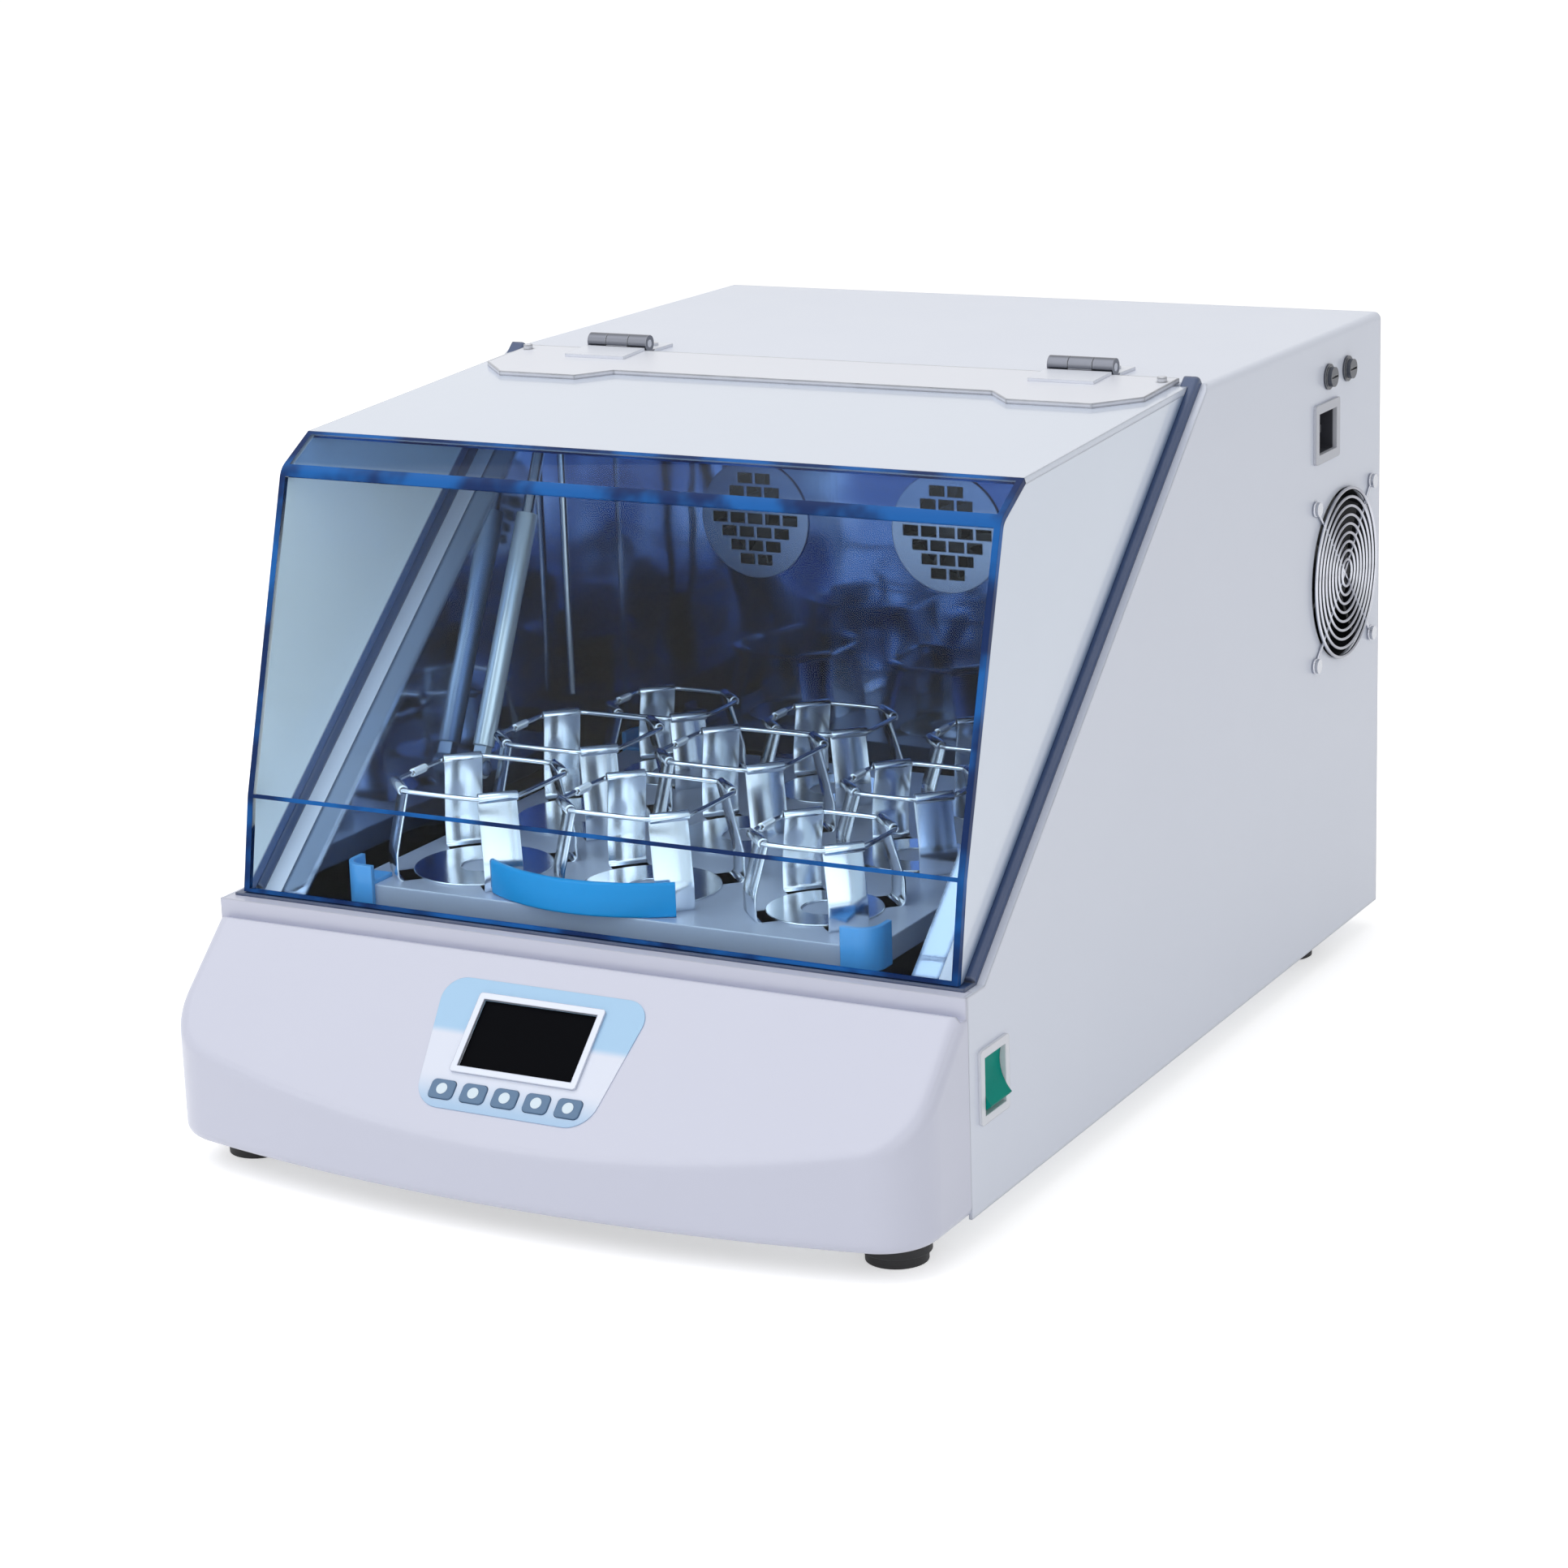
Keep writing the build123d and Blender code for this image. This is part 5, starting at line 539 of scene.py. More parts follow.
def make_finishes():
    """Builds every finish, by the name of the record's material slot that it belongs to."""
    colours = bpy.context.scene.shaker_colours
    body, fascia = tuple(colours.body), tuple(colours.fascia)
    steel = plain(196, 200, 208)
    made = {
        "white_paint": finish(
            "powder_coat", body, 0.34, grain=1400.0, depth=0.12, drift=0.03, radius=0.0025, coat=0.15
        ),
        "white_plastic": finish(
            "moulded_fascia", fascia, 0.36, grain=1000.0, depth=0.06, drift=0.03, radius=0.002, coat=0.2
        ),
        "pan_zinc": finish(
            "zinc_plate", plain(176, 180, 186), 0.4, 0.7, grain=120.0, depth=0.1, drift=0.14, drift_scale=30.0
        ),
        # the liner carries painted shade in the chamber's depth and painted reflections
        "liner_steel": finish(
            "bright_liner", plain(92, 106, 136), 0.07, 1.0, grain=700.0, depth=0.06, stretch=(1, 1, 0.02),
            drift=0.2,
            smudge=0.05, ripple=0.3, radius=0.004, painted=liner_painted_light,
        ),
        "foot_rubber": finish("foot_rubber", plain(30, 30, 33), 0.62, grain=700.0, depth=0.35, edge=0.2),
        "gasket_rubber": finish(
            "seal_rubber", plain(44, 68, 110), 0.38, grain=900.0, depth=0.15, edge=0.35, radius=0.003,
            amount=0.6, coat=0.2
        ),
        "insulation_foam": finish(
            "fibre_slab", plain(206, 208, 205), 0.95, grain=260.0, depth=0.9, distance=0.001
        ),
        "screw_steel": finish(
            "bright_screw", plain(190, 193, 200), 0.22, 1.0, grain=300.0, depth=0.1, radius=0.0004
        ),
        "hinge_steel": finish(
            "hinge_satin", plain(176, 179, 188), 0.34, hinge_metal, grain=500.0, depth=0.2,
            stretch=(0.05, 1, 1), drift=0.12,
            drift_scale=40.0, radius=0.0006, amount=0.6, painted=hinge_colours,
        ),
        "overlay_film": finish(
            "control_film", plain(188, 216, 244), 0.38, grain=1500.0, depth=0.08, radius=0.0004,
            painted=film_colours
        ),
        "bezel_silver": finish(
            "display_frame", plain(200, 206, 220), 0.25, 0.35, radius=0.0008, depth=0.05, amount=0.6
        ),
        "screen_dark": finish(
            "display_window", plain(8, 9, 13), 0.5, depth=0.02, edge=0.02, smudge=0.05, amount=0.1, shine=0.02
        ),
        "switch_white": finish("switch_frame", plain(222, 225, 233), 0.42, depth=0.1, radius=0.001),
        "inlet_black": finish(
            "inlet_moulding", plain(150, 152, 162), 0.5, depth=0.2, radius=0.0008, painted=inlet_colours
        ),
        "fuse_black": finish(
            "fuse_caps", plain(70, 74, 84), 0.32, 0.3, depth=0.1, edge=0.5, radius=0.0008, amount=0.7
        ),
        # the guard's rings carry a painted highlight, brighter to the front and the back
        "guard_chrome": finish(
            "guard_wire", plain(190, 192, 200), 0.16, 1.0, depth=0.05, radius=0.0004, drift=0.1,
            painted=guard_painted_highlight
        ),
        "fan_black": finish("fan_plastic", plain(34, 36, 40), 0.45, depth=0.2, radius=0.001),
        "grille_steel": finish(
            "grille_satin", plain(126, 140, 168), 0.24, 1.0, grain=600.0, depth=0.2, stretch=(1, 0.03, 1),
            drift=0.2
        ),
        "heater_steel": finish(
            "heater_sheath", plain(110, 104, 100), 0.38, 1.0, depth=0.2, painted=heat_colours
        ),
        "probe_steel": finish(
            "probe_sheath", plain(180, 184, 192), 0.2, 1.0, grain=500.0, depth=0.1, stretch=(1, 1, 0.02)
        ),
        "cast_grey": finish(
            "cast_housing", plain(124, 127, 132), 0.52, 0.6, grain=380.0, depth=0.6, distance=0.0005,
            drift=0.15, drift_scale=30.0
        ),
        "bearing_steel": finish("ground_race", plain(188, 190, 196), 0.18, 1.0, grain=900.0, depth=0.1),
        "motor_metal": finish("motor_shell", plain(58, 61, 68), 0.42, 0.3, grain=500.0, depth=0.25, edge=0.3),
        "belt_rubber": finish("belt_rubber", plain(38, 38, 40), 0.7, grain=420.0, depth=0.5, edge=0.15),
        "post_aluminium": finish(
            "turned_post", plain(190, 193, 198), 0.3, 1.0, grain=800.0, depth=0.25, stretch=(0.03, 0.03, 1)
        ),
        "lid_tint": clear_finish("hood_acrylic", tuple(colours.tint)),
        # the cut edges carry painted glints of lit blue
        "lid_edge": finish(
            "hood_cut_edge", tuple(colours.edge), 0.3, edge=0.25, radius=0.0008, amount=0.2, depth=0.03,
            drift=0.2,
            drift_scale=14.0, shine=0.12, painted=cut_edge_painted_glints,
        ),
        "lid_white": finish(
            "lid_top_gloss", plain(204, 213, 229), 0.2, depth=0.03, drift=0.03, coat=0.4, radius=0.002
        ),
        # the lid's sides carry painted light within and painted shade and reflection beside the seal
        "lid_side": finish(
            "lid_side_gloss", plain(208, 219, 235), 0.14, depth=0.03, drift=0.06, coat=0.5, radius=0.001,
            painted=side_painted_light,
        ),
        # painted shadow: the strip's edges are darkened (edge=-0.9) into a shadow line
        "strip_white": finish(
            "strip_paint", plain(224, 227, 236), 0.36, depth=0.08, edge=-0.9, radius=0.003, amount=1.0
        ),
        "strut_grey": finish(
            "strut_paint", plain(206, 218, 226), 0.2, 0.5, depth=0.06, radius=0.001, coat=0.4
        ),
        "rod_chrome": finish(
            "strut_rod", plain(206, 210, 216), 0.1, 1.0, grain=900.0, depth=0.04, stretch=(1, 1, 0.05)
        ),
        "rocker_green": finish(
            "rocker_green", plain(0, 138, 124), 0.5, edge=0.25, radius=0.0012, amount=0.3, shine=0.08,
            drift=0.3, drift_scale=60.0
        ),
        "key_slate": finish(
            "key_dome", plain(86, 118, 152), 0.42, depth=0.08, radius=0.001, drift=0.15, drift_scale=90.0
        ),
        "key_mark": finish("key_dot", plain(214, 230, 242), 0.4, depth=0.05, radius=0.0003),
        "shaft_steel": finish(
            "turned_shaft", plain(172, 175, 180), 0.26, 1.0, grain=700.0, depth=0.25,
            stretch=(0.03, 0.03, 1)
        ),
        "tray_slate": finish(
            "anodised_tray", plain(172, 182, 202), 0.36, 0.3, grain=500.0, depth=0.2, stretch=(0.02, 1, 1),
            drift=0.12,
            drift_scale=12.0, edge=0.3, radius=0.0015, amount=0.5,
        ),
        "cap_blue": finish("corner_cap", tuple(colours.cap), 0.34, depth=0.12, radius=0.0015, coat=0.2),
        "handle_blue": finish(
            "handle_moulding", tuple(colours.handle), 0.38, depth=0.08, radius=0.001, edge=0.3, shine=0.3
        ),
        "clamp_steel": finish(
            "spring_strip", plain(240, 244, 250), 0.16, 1.0, grain=600.0, depth=0.12, stretch=(1, 1, 0.03),
            drift=0.15,
            drift_scale=20.0, radius=0.0005, ripple=0.15,
        ),
        "ring_steel": finish(
            "ring_wire", plain(240, 243, 248), 0.16, 1.0, depth=0.03, radius=0.0003, drift=0.1
        ),
    }
    return made


FINISHES = {}
SLOTS = {
    "white_paint": "outer_casing rear_panel",
    "white_plastic": "front_fascia",
    "pan_zinc": "base_pan",
    "liner_steel": "chamber_liner",
    "foot_rubber": "rubber_feet",
    "gasket_rubber": "lid_gasket",
    "insulation_foam": "insulation_panels",
    "screw_steel": "case_screws hinge_pins",
    "hinge_steel": "hinge_leaves_case hinge_leaves_lid strut_brackets_lid",
    "overlay_film": "control_overlay",
    "bezel_silver": "display_bezel",
    "screen_dark": "display_module",
    "switch_white": "switch_housing",
    "inlet_black": "power_inlet",
    "fuse_black": "fuse_holders",
    "guard_chrome": "fan_guard",
    "fan_black": "fan_frame fan_rotor",
    "grille_steel": "fan_grilles",
    "heater_steel": "heater_coil",
    "probe_steel": "temperature_probe",
    "cast_grey": "bearing_housing drive_pulley motor_pulley idler_crank_left idler_crank_right",
    "bearing_steel": "ball_bearings",
    "motor_metal": "motor blower_motors impeller_left impeller_right",
    "belt_rubber": "drive_belt",
    "post_aluminium": "idler_posts drive_plate",
    "lid_tint": "lid_front_hood",
    "lid_white": "lid_top_panel",
    "lid_side": "lid_side_left lid_side_right",
    "strip_white": "hinge_strip",
    "strut_grey": "strut_cylinder_left strut_cylinder_right",
    "rod_chrome": "strut_rod_left strut_rod_right",
    "rocker_green": "power_rocker",
    "key_slate": "key_1 key_2 key_3 key_4 key_5",
    "shaft_steel": "drive_shaft",
    "tray_slate": "platform_tray",
    "cap_blue": "corner_caps",
    "handle_blue": "pull_handle",
    "clamp_steel": "flask_clamps_large flask_clamps_small",
    "ring_steel": "clamp_rings",
}


# ---- Shapes ----
def add_piece(name, shape, body, slot, *finish_names):
    """Turns a bmesh into a piece that rides on a body, with its finishes in order."""
    mesh = bpy.data.meshes.new(name)
    shape.to_mesh(mesh)
    shape.free()
    piece = bpy.data.objects.new(name, mesh)
    bpy.context.scene.collection.objects.link(piece)
    for key in finish_names or (slot,):
        mesh.materials.append(FINISHES[key])
    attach(piece, body)
    return piece


def chain(shape, points):
    """A run of edges through a few points; gives the vertices."""
    verts = [shape.verts.new(point) for point in points]
    for first, second in zip(verts, verts[1:]):
        shape.edges.new((first, second))
    return verts


def shift(shape, drawn, along):
    """Moves what an extrusion has just drawn."""
    verts = [v for v in drawn["geom"] if isinstance(v, bmesh.types.BMVert)]
    bmesh.ops.translate(shape, verts=verts, vec=along)


def sweep(shape, edges, along):
    """Draws edges out along a vector into faces."""
    shift(shape, bmesh.ops.extrude_edge_only(shape, edges=edges), along)


def smooth_faces(shape, angle=0.6):
    """Smooth faces, with the edges that turn more than an angle kept sharp."""
    for face in shape.faces:
        face.smooth = True
    for edge in shape.edges:
        edge.smooth = len(edge.link_faces) == 2 and edge.calc_face_angle(0.0) < angle


def bevel_sharp(shape, width, segments=2, angle=0.6):
    """Rounds the edges that turn more than an angle."""
    sharp = [e for e in shape.edges if len(e.link_faces) == 2 and e.calc_face_angle(0.0) > angle]
    bmesh.ops.bevel(
        shape, geom=sharp, offset=width, offset_type="OFFSET", segments=segments, profile=0.5,
        affect="EDGES", material=-1
    )


def tidy(shape):
    """Merges doubles and points the faces outwards."""
    bmesh.ops.remove_doubles(shape, verts=shape.verts, dist=1e-6)
    bmesh.ops.recalc_face_normals(shape, faces=shape.faces)


def hood_shape(sheet):
    """The bent front sheet: brow, bevel, front and skirt, with rounded bends and polished edges."""
    shape = bmesh.new()
    verts = chain(shape, [(-HOOD_HALF, y, z) for y, z in HOOD_OUTLINE])
    for vert, offset in ((verts[1], 0.0045), (verts[2], 0.0012)):
        bmesh.ops.bevel(
            shape, geom=[vert], offset=offset, offset_type="OFFSET", segments=3, profile=0.5,
            affect="VERTICES", material=-1
        )
    bends = {e for e in shape.edges if e.calc_length() < 0.006}
    middles = [sum((v.co for v in e.verts), Vector()) / 2 for e in bends]
    sweep(shape, shape.edges[:], (2 * HOOD_HALF, 0, 0))
    for side in (-1, 1):
        bmesh.ops.bisect_plane(
            shape, geom=shape.verts[:] + shape.edges[:] + shape.faces[:],
            plane_co=(side * (HOOD_HALF - sheet), 0, 0),
            plane_no=(1, 0, 0),
        )
    for inset, end, beside in ((0.0028, 0, 1), (0.0022, 3, 2)):
        y, z = HOOD_OUTLINE[end]
        toward = Vector((0, HOOD_OUTLINE[beside][0] - y, HOOD_OUTLINE[beside][1] - z)).normalized()
        bmesh.ops.bisect_plane(
            shape, geom=shape.verts[:] + shape.edges[:] + shape.faces[:],
            plane_co=Vector((0, y, z)) + toward * inset, plane_no=toward,
        )
    bmesh.ops.recalc_face_normals(shape, faces=shape.faces)
    if sum(f.normal.y for f in shape.faces) > 0:
        bmesh.ops.reverse_faces(shape, faces=shape.faces)
    for face in shape.faces:
        spot = face.calc_center_median()
        near = any(abs(spot.y - m.y) + abs(spot.z - m.z) < 1e-4 for m in middles)
        rim = abs(spot.x) > HOOD_HALF - sheet or spot.z > 0.4152 or spot.z < 0.1525
        face.material_index = 1 if near or rim else 0
    outer = shape.faces[:]
    bmesh.ops.solidify(shape, geom=outer, thickness=sheet)
    for face in shape.faces:
        if abs(face.normal.x) > 0.9 or face.normal.z < -0.9:
            face.material_index = 1
    smooth_faces(shape, 0.5)
    return shape


def strip_shape(base, neck, height, width, sheet):
    """One sprung strip: foot, rise, lean in to the neck, and a tip rolled over the ring."""
    shape = bmesh.new()
    foot, back, lean = base * 0.4, base + sheet, neck + sheet
    outline = ((foot, 0), (back, 0), (back, STRIP_RISE), (lean, height - 2 * RING_DROP))
    verts = chain(shape, [(r, -width / 2, z) for r, z in outline])
    bmesh.ops.bevel(
        shape, geom=verts[1:3], offset=STRIP_BEND, offset_type="OFFSET", segments=4, profile=0.5,
        affect="VERTICES", material=-1
    )
    tip = max(shape.verts, key=lambda v: v.co.z)
    bmesh.ops.spin(
        shape, geom=[tip], cent=(neck + sheet + ROLLED_TIP, -width / 2, height - RING_DROP), axis=(0, 1, 0),
        dvec=(0, 0, 0),
        angle=math.radians(250), steps=9, use_merge=False, use_normal_flip=False, use_duplicate=False,
    )
    sweep(shape, shape.edges[:], (0, width, 0))
    tidy(shape)
    bmesh.ops.solidify(shape, geom=shape.faces[:], thickness=sheet)
    bevel_sharp(shape, 0.00035, 2, 1.0)
    smooth_faces(shape, 0.7)
    return shape


def plate_shape(radius, sheet):
    """A clamp's round base plate with its middle hole."""
    shape = bmesh.new()
    verts = chain(shape, [(PLATE_HOLE, 0, 0), (radius, 0, 0)])
    bmesh.ops.spin(
        shape, geom=verts + shape.edges[:], cent=(0, 0, 0), axis=(0, 0, 1), dvec=(0, 0, 0),
        angle=2 * math.pi, steps=40,
        use_merge=True, use_normal_flip=False, use_duplicate=False,
    )
    shift(shape, bmesh.ops.extrude_face_region(shape, geom=shape.faces[:]), (0, 0, sheet))
    tidy(shape)
    bevel_sharp(shape, 0.0003, 1, 1.0)
    smooth_faces(shape)
    return shape


def join_shape(into, part, matrix):
    """Adds a placed copy of one bmesh to another."""
    mesh = bpy.data.meshes.new("part")
    part.to_mesh(mesh)
    mesh.transform(matrix)
    into.from_mesh(mesh)
    bpy.data.meshes.remove(mesh)


def clamp_spots(places):
    """The middles of the clamps on the tray's top face."""
    return [Vector((x * CLAMP_PITCH, CLAMP_ROW_Y + y * CLAMP_PITCH, TRAY_TOP)) for x, y in places]


def clamp_set(name, places, base, neck, height, sizes):
    """All the clamps of one size as one piece."""
    whole = bmesh.new()
    strip = strip_shape(base, neck, height, sizes.strip_width, sizes.strip_sheet)
    plate = plate_shape(base * 0.8, sizes.strip_sheet)
    for spot in clamp_spots(places):
        join_shape(whole, plate, Matrix.Translation(spot))
        for turn in STRIP_TURNS:
            join_shape(whole, strip, Matrix.Translation(spot) @ Matrix.Rotation(turn, 4, "Z"))
    strip.free()
    plate.free()
    piece = add_piece(name, whole, "platform", "clamp_steel")
    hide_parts(name.replace("sprung", "flask"))
    return piece


def ring_shape(neck, sizes):
    """A wire ring: straight runs outside the strips and between them, with a small joining spring."""
    shape = bmesh.new()
    reach = neck + sizes.strip_sheet + ROLLED_TIP
    half = sizes.strip_width / 2 + 0.001
    corners = []
    for turn in STRIP_TURNS:
        out, side = Vector((math.cos(turn), math.sin(turn), 0)), Vector((-math.sin(turn), math.cos(turn), 0))
        corners += [out * reach - side * half, out * reach + side * half]
    curve = bpy.data.curves.new("ring", "CURVE")
    curve.dimensions = "3D"
    curve.bevel_depth = sizes.wire
    curve.bevel_resolution = 3
    spline = curve.splines.new("BEZIER")
    spline.bezier_points.add(len(corners) - 1)
    for point, corner, before, after in zip(
        spline.bezier_points, corners, corners[-1:] + corners[:-1], corners[1:] + corners[:1]
    ):
        lean = (after - before).normalized() * 0.0035
        point.co = corner
        point.handle_left_type = point.handle_right_type = "FREE"
        point.handle_left, point.handle_right = corner - lean, corner + lean
    spline.use_cyclic_u = True
    spline.resolution_u = 5
    holder = bpy.data.objects.new("ring", curve)
    mesh = bpy.data.meshes.new_from_object(holder)
    shape.from_mesh(mesh)
    bpy.data.objects.remove(holder)
    bpy.data.curves.remove(curve)
    bpy.data.meshes.remove(mesh)
    first, second = corners[3], corners[4]
    spring = spring_shape(sizes)
    run = (second - first).normalized()
    start = (first + second - run * SPRING_LENGTH) / 2
    join_shape(shape, spring, Matrix.Translation(start) @ run.to_track_quat("Z", "Y").to_matrix().to_4x4())
    spring.free()
    for face in shape.faces:
        face.smooth = True
    return shape


def spring_shape(sizes):
    """A short close-wound spring along +Z."""
    shape = bmesh.new()
    steps = SPRING_TURNS * SPRING_STEPS
    loop = bmesh.ops.create_circle(
        shape, segments=6, radius=SPRING_WIRE, matrix=Matrix.Rotation(math.pi / 2, 4, "X")
    )
    bmesh.ops.translate(shape, verts=loop["verts"], vec=(sizes.spring_coil - SPRING_WIRE, 0, 0))
    bmesh.ops.spin(
        shape, geom=loop["verts"] + shape.edges[:], cent=(0, 0, 0), axis=(0, 0, 1),
        dvec=(0, 0, SPRING_LENGTH / steps),
        angle=2 * math.pi * SPRING_TURNS, steps=steps, use_merge=False, use_normal_flip=False,
        use_duplicate=False,
    )
    bmesh.ops.holes_fill(shape, edges=shape.edges[:], sides=6)
    tidy(shape)
    return shape


def handle_shape():
    """The tray's curved pull: a tall rounded section swept round an arc, with rounded ends."""
    shape = bmesh.new()
    radius = (HANDLE_HALF**2 + HANDLE_BOW**2) / (2 * HANDLE_BOW)
    centre = Vector((HANDLE_MIDDLE[0], HANDLE_MIDDLE[1] + radius, 0))
    sweep_angle = 2 * math.asin(HANDLE_HALF / radius)
    square = bmesh.ops.create_grid(shape, x_segments=1, y_segments=1, size=0.5)["verts"]
    bmesh.ops.scale(shape, vec=(HANDLE_THICK, HANDLE_TALL, 1), verts=square)
    bmesh.ops.rotate(shape, cent=(0, 0, 0), matrix=Matrix.Rotation(math.pi / 2, 3, "X"), verts=square)
    bmesh.ops.bevel(
        shape, geom=square, offset=0.0017, offset_type="OFFSET", segments=4, profile=0.5, affect="VERTICES",
        material=-1
    )
    place = Vector((centre.x + radius - HANDLE_THICK / 2, centre.y, TRAY_TOP + HANDLE_TALL / 2))
    bmesh.ops.translate(shape, verts=shape.verts[:], vec=place)
    start = -math.pi / 2 - sweep_angle / 2
    bmesh.ops.rotate(shape, cent=centre, matrix=Matrix.Rotation(start, 3, "Z"), verts=shape.verts[:])
    bmesh.ops.spin(
        shape, geom=shape.verts[:] + shape.edges[:] + shape.faces[:], cent=centre, axis=(0, 0, 1),
        dvec=(0, 0, 0),
        angle=sweep_angle, steps=36, use_merge=False, use_normal_flip=False, use_duplicate=False,
    )
    tidy(shape)
    smooth_faces(shape, 0.7)
    return shape


def dot_shape(spot, radius):
    """A low round dot on the sloping panel."""
    shape = bmesh.new()
    bmesh.ops.create_circle(shape, cap_ends=True, segments=28, radius=radius)
    shift(shape, bmesh.ops.extrude_face_region(shape, geom=shape.faces[:]), (0, 0, DOT_RISE))
    tidy(shape)
    bmesh.ops.transform(
        shape, matrix=Matrix.Translation(spot) @ SLOPE_OUT.to_track_quat("Z", "Y").to_matrix().to_4x4(),
        verts=shape.verts[:]
    )
    smooth_faces(shape)
    return shape


# ---- Operators ----
class SHAKER_OT_finishes(bpy.types.Operator):
    """Builds the finishes and puts one on every part of the frame"""

    bl_idname = "shaker.finishes"
    bl_label = "Finishes"

    def execute(self, context):
        build_groups()
        FINISHES.update(make_finishes())
        dressed = set()
        for slot, names in SLOTS.items():
            for name in names.split():
                part = frame["nodes"][name]
                if not part.material_slots:
                    part.data.materials.append(FINISHES[slot])
                for place in part.material_slots:
                    place.material = FINISHES[slot]
                dressed.add(name)
        bare = sorted(set(frame["nodes"]) - dressed)
        if bare:
            raise RuntimeError(f"these parts have no finish: {bare}")
        return {"FINISHED"}


class SHAKER_OT_hood(bpy.types.Operator):
    """Makes the clear bent hood of the lid"""

    bl_idname = "shaker.hood"
    bl_label = "Clear hood"

    def execute(self, context):
        shape = hood_shape(context.scene.shaker_sizes.hood_sheet)
        piece = add_piece("hood_sheet", shape, "lid", "lid_tint", "lid_tint", "lid_edge")
        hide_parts("lid_front_hood")
        return {"FINISHED"}


class SHAKER_OT_clamps(bpy.types.Operator):
    """Makes the flask clamps of both sizes"""

    bl_idname = "shaker.clamps"
    bl_label = "Flask clamps"

    def execute(self, context):
        sizes = context.scene.shaker_sizes
        clamp_set("sprung_clamps_large", LARGE_PLACES, *LARGE_CLAMP, sizes)
        clamp_set("sprung_clamps_small", SMALL_PLACES, *SMALL_CLAMP, sizes)
        return {"FINISHED"}


class SHAKER_OT_rings(bpy.types.Operator):
    """Makes the wire rings with their joining springs"""

    bl_idname = "shaker.rings"
    bl_label = "Clamp rings"

    def execute(self, context):
        sizes = context.scene.shaker_sizes
        whole = bmesh.new()
        for places, (_, neck, height) in ((LARGE_PLACES, LARGE_CLAMP), (SMALL_PLACES, SMALL_CLAMP)):
            ring = ring_shape(neck, sizes)
            for spot in clamp_spots(places):
                join_shape(whole, ring, Matrix.Translation(spot + Vector((0, 0, height - RING_DROP))))
            ring.free()
        piece = add_piece("wire_rings", whole, "platform", "ring_steel")
        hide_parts("clamp_rings")
        return {"FINISHED"}


class SHAKER_OT_handle(bpy.types.Operator):
    """Makes the tray's pull handle"""

    bl_idname = "shaker.handle"
    bl_label = "Pull handle"

    def execute(self, context):
        piece = add_piece("tray_pull", handle_shape(), "platform", "handle_blue")
        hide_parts("pull_handle")
        return {"FINISHED"}


class SHAKER_OT_keys(bpy.types.Operator):
    """Puts the pale dot on each key"""

    bl_idname = "shaker.keys"
    bl_label = "Key dots"

    def execute(self, context):
        radius = context.scene.shaker_sizes.key_dot
        for number in range(1, 6):
            low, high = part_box(f"key_{number}")
            middle = (low + high) / 2
            key = frame["nodes"][f"key_{number}"]
            top = max(SLOPE_OUT.dot(v.co) for v in key.data.vertices)
            spot = middle + SLOPE_OUT * (top - SLOPE_OUT.dot(middle))
            add_piece(f"key_dot_{number}", dot_shape(spot, radius), key["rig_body"], "key_slate", "key_mark")
        return {"FINISHED"}


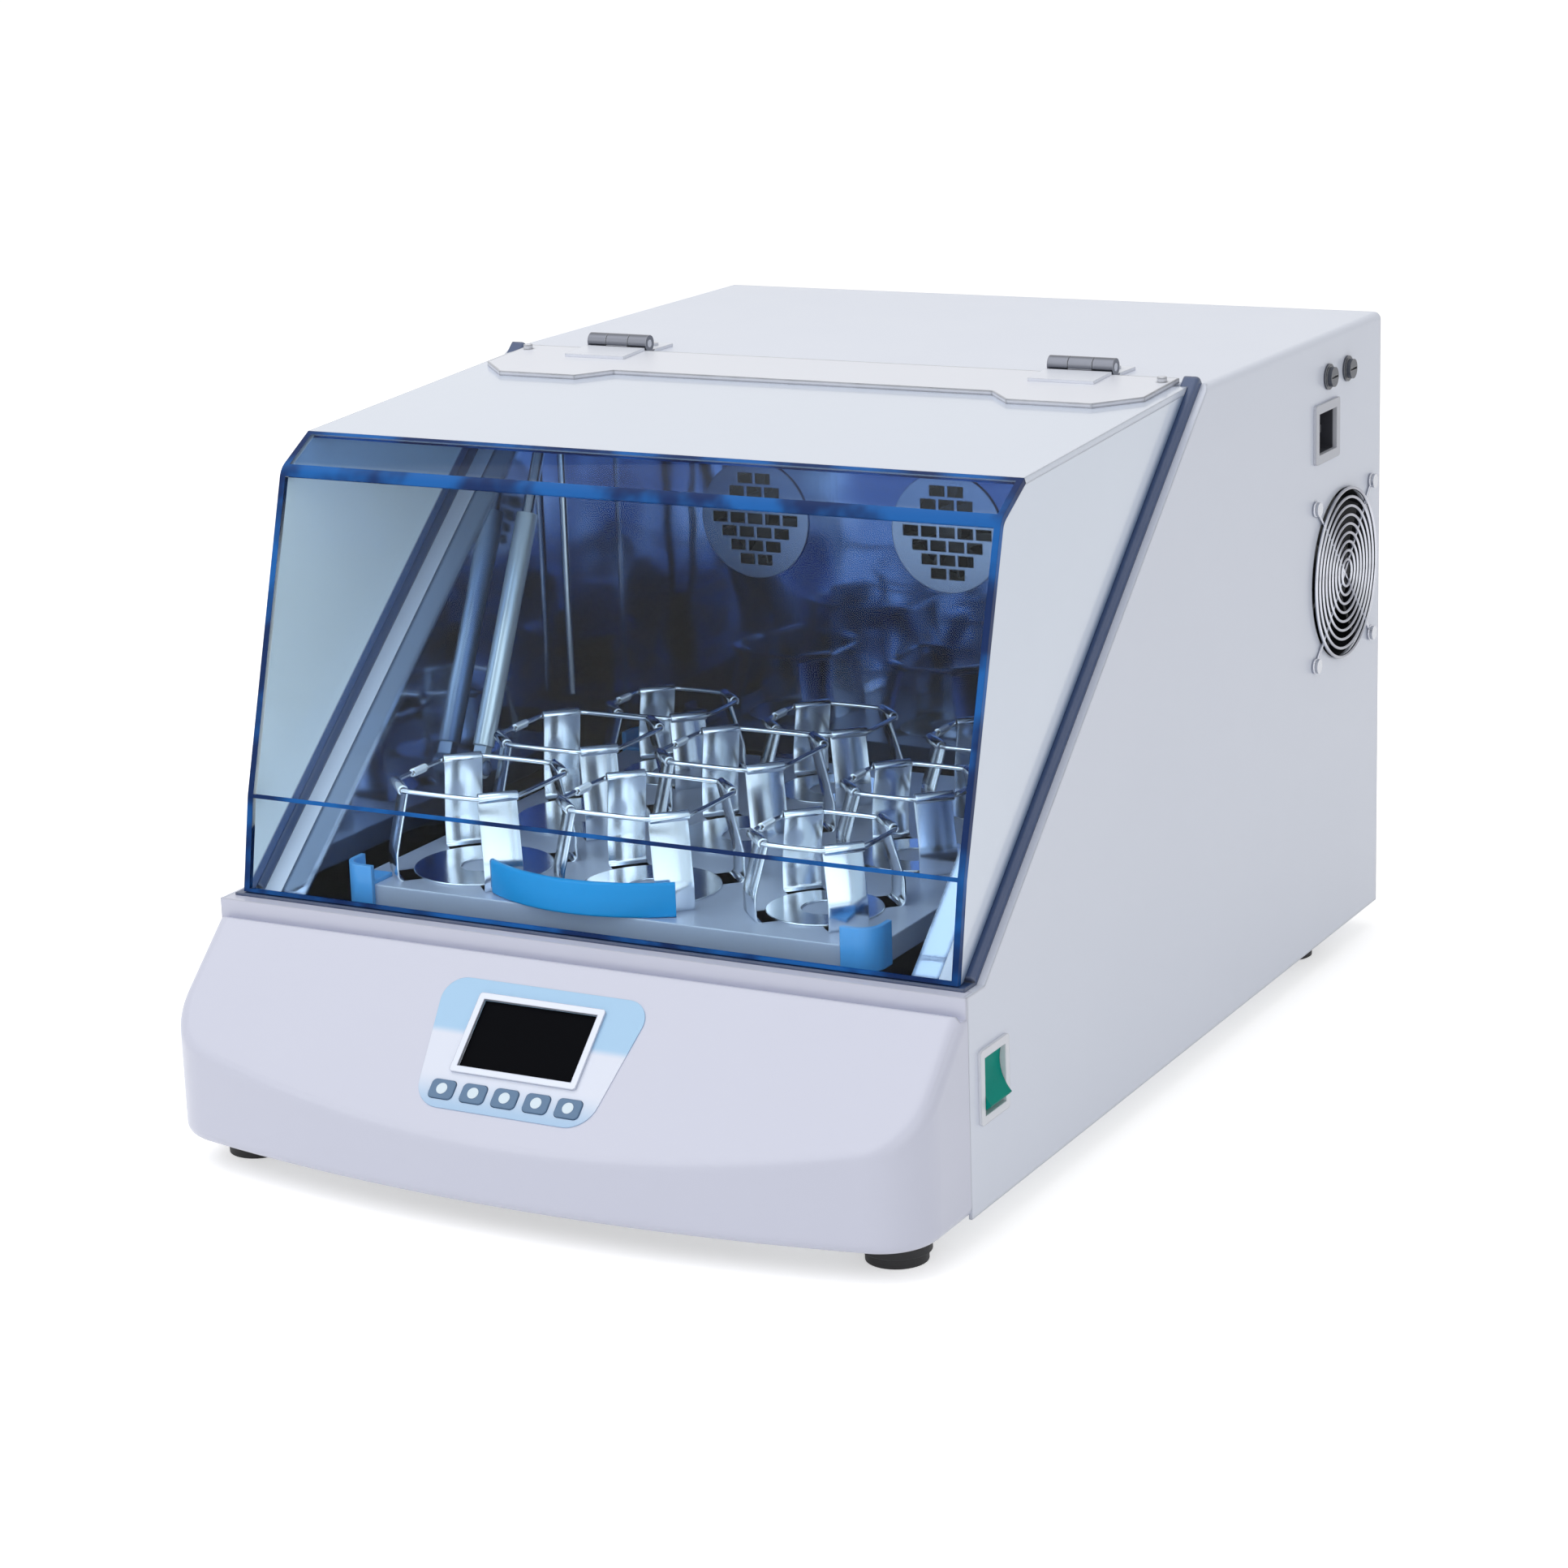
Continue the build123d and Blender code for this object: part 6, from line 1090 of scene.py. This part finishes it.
class SHAKER_OT_studio(bpy.types.Operator):
    """Makes the floor, the soft light and the camera"""

    bl_idname = "shaker.studio"
    bl_label = "Studio"

    def execute(self, context):
        scene = context.scene
        scene.view_settings.view_transform = "Standard"
        self.floor(scene)
        self.world(scene)
        for name, place, size, power in LAMPS:
            lamp = bpy.data.lights.new(name, "AREA")
            lamp.size = size
            lamp.energy = power
            holder = bpy.data.objects.new(name, lamp)
            scene.collection.objects.link(holder)
            holder.location = place
            holder.rotation_mode = "QUATERNION"
            holder.rotation_quaternion = (LAMPS_LOOK_AT - Vector(place)).to_track_quat("-Z", "Y")
        self.camera(scene)
        return {"FINISHED"}

    def floor(self, scene):
        """A wide pale floor that meets a white background."""
        shape = bmesh.new()
        bmesh.ops.create_grid(shape, x_segments=1, y_segments=1, size=20.0)
        mesh = bpy.data.meshes.new("floor")
        shape.to_mesh(mesh)
        shape.free()
        floor = bpy.data.objects.new("floor", mesh)
        scene.collection.objects.link(floor)
        pale = (0.94, 0.94, 0.945)
        material, tree, shader, _ = start_material("floor_white", pale)
        shader.inputs["Base Color"].default_value = (*pale, 1)
        shader.inputs["Roughness"].default_value = 0.9
        path = tree.nodes.new("ShaderNodeLightPath")
        seen = math_node(tree, "MAXIMUM", path.outputs["Is Camera Ray"], path.outputs["Is Glossy Ray"])
        lift = math_node(tree, "MULTIPLY", seen, 0.5)
        shader.inputs["Emission Color"].default_value = (1, 1, 1, 1)
        tree.links.new(lift, shader.inputs["Emission Strength"])
        mesh.materials.append(material)

    def world(self, scene):
        """A white surround for the camera and for reflections, and a softer one that lights."""
        world = bpy.data.worlds.new("studio")
        scene.world = world
        world.use_nodes = True
        tree = world.node_tree
        surround = tree.nodes["Background"]
        surround.inputs["Color"].default_value = (1, 1, 1, 1)
        path = tree.nodes.new("ShaderNodeLightPath")
        seen = math_node(tree, "MAXIMUM", path.outputs["Is Camera Ray"], path.outputs["Is Glossy Ray"])
        seen = math_node(tree, "MAXIMUM", seen, path.outputs["Is Transmission Ray"])
        strength = math_node(tree, "ADD", math_node(tree, "MULTIPLY", seen, 0.45), 0.55)
        tree.links.new(strength, surround.inputs["Strength"])

    def camera(self, scene):
        """The camera, above and to the right of the front."""
        turn, look, roll = CAMERA_TURN, CAMERA_LOOK, CAMERA_ROLL
        right = Vector((math.cos(turn), math.sin(turn), 0))
        up = Vector((-math.sin(turn) * math.sin(look), math.cos(turn) * math.sin(look), math.cos(look)))
        back = Vector((math.sin(turn) * math.cos(look), -math.cos(turn) * math.cos(look), math.sin(look)))
        across = right * math.cos(roll) + up * math.sin(roll)
        upward = up * math.cos(roll) - right * math.sin(roll)
        data = bpy.data.cameras.new("camera")
        data.lens = CAMERA_LENS
        data.sensor_width = 36.0
        camera = bpy.data.objects.new("camera", data)
        scene.collection.objects.link(camera)
        camera.matrix_world = (
            Matrix.Translation(CAMERA_PLACE) @ Matrix((across, upward, back)).transposed().to_4x4()
        )
        scene.camera = camera


OPERATORS = (
    SHAKER_OT_studio, SHAKER_OT_finishes, SHAKER_OT_hood, SHAKER_OT_clamps, SHAKER_OT_rings, SHAKER_OT_handle,
    SHAKER_OT_keys,
)


class SHAKER_PT_panel(bpy.types.Panel):
    """Lists the shaker's pieces and its colours and sizes"""

    bl_idname = "SHAKER_PT_panel"
    bl_label = "Benchtop shaker"
    bl_space_type = "VIEW_3D"
    bl_region_type = "UI"
    bl_category = "Shaker"

    def draw(self, context):
        for group in (context.scene.shaker_colours, context.scene.shaker_sizes):
            for name in group.__annotations__:
                self.layout.prop(group, name)
        for operator in OPERATORS:
            self.layout.operator(operator.bl_idname)


CLASSES = (ShakerColours, ShakerSizes, *OPERATORS, SHAKER_PT_panel)


def register():
    """Registers the classes and puts their settings on the scene."""
    for each in CLASSES:
        bpy.utils.register_class(each)
    bpy.types.Scene.shaker_colours = bpy.props.PointerProperty(type=ShakerColours)
    bpy.types.Scene.shaker_sizes = bpy.props.PointerProperty(type=ShakerSizes)


def unregister():
    """Takes the settings and the classes away again."""
    del bpy.types.Scene.shaker_sizes
    del bpy.types.Scene.shaker_colours
    for each in reversed(CLASSES):
        bpy.utils.unregister_class(each)


def main():
    """Makes the whole object."""
    register()
    for operator in OPERATORS:
        family, name = operator.bl_idname.split(".")
        getattr(getattr(bpy.ops, family), name)()


if __name__ == "__main__":
    main()
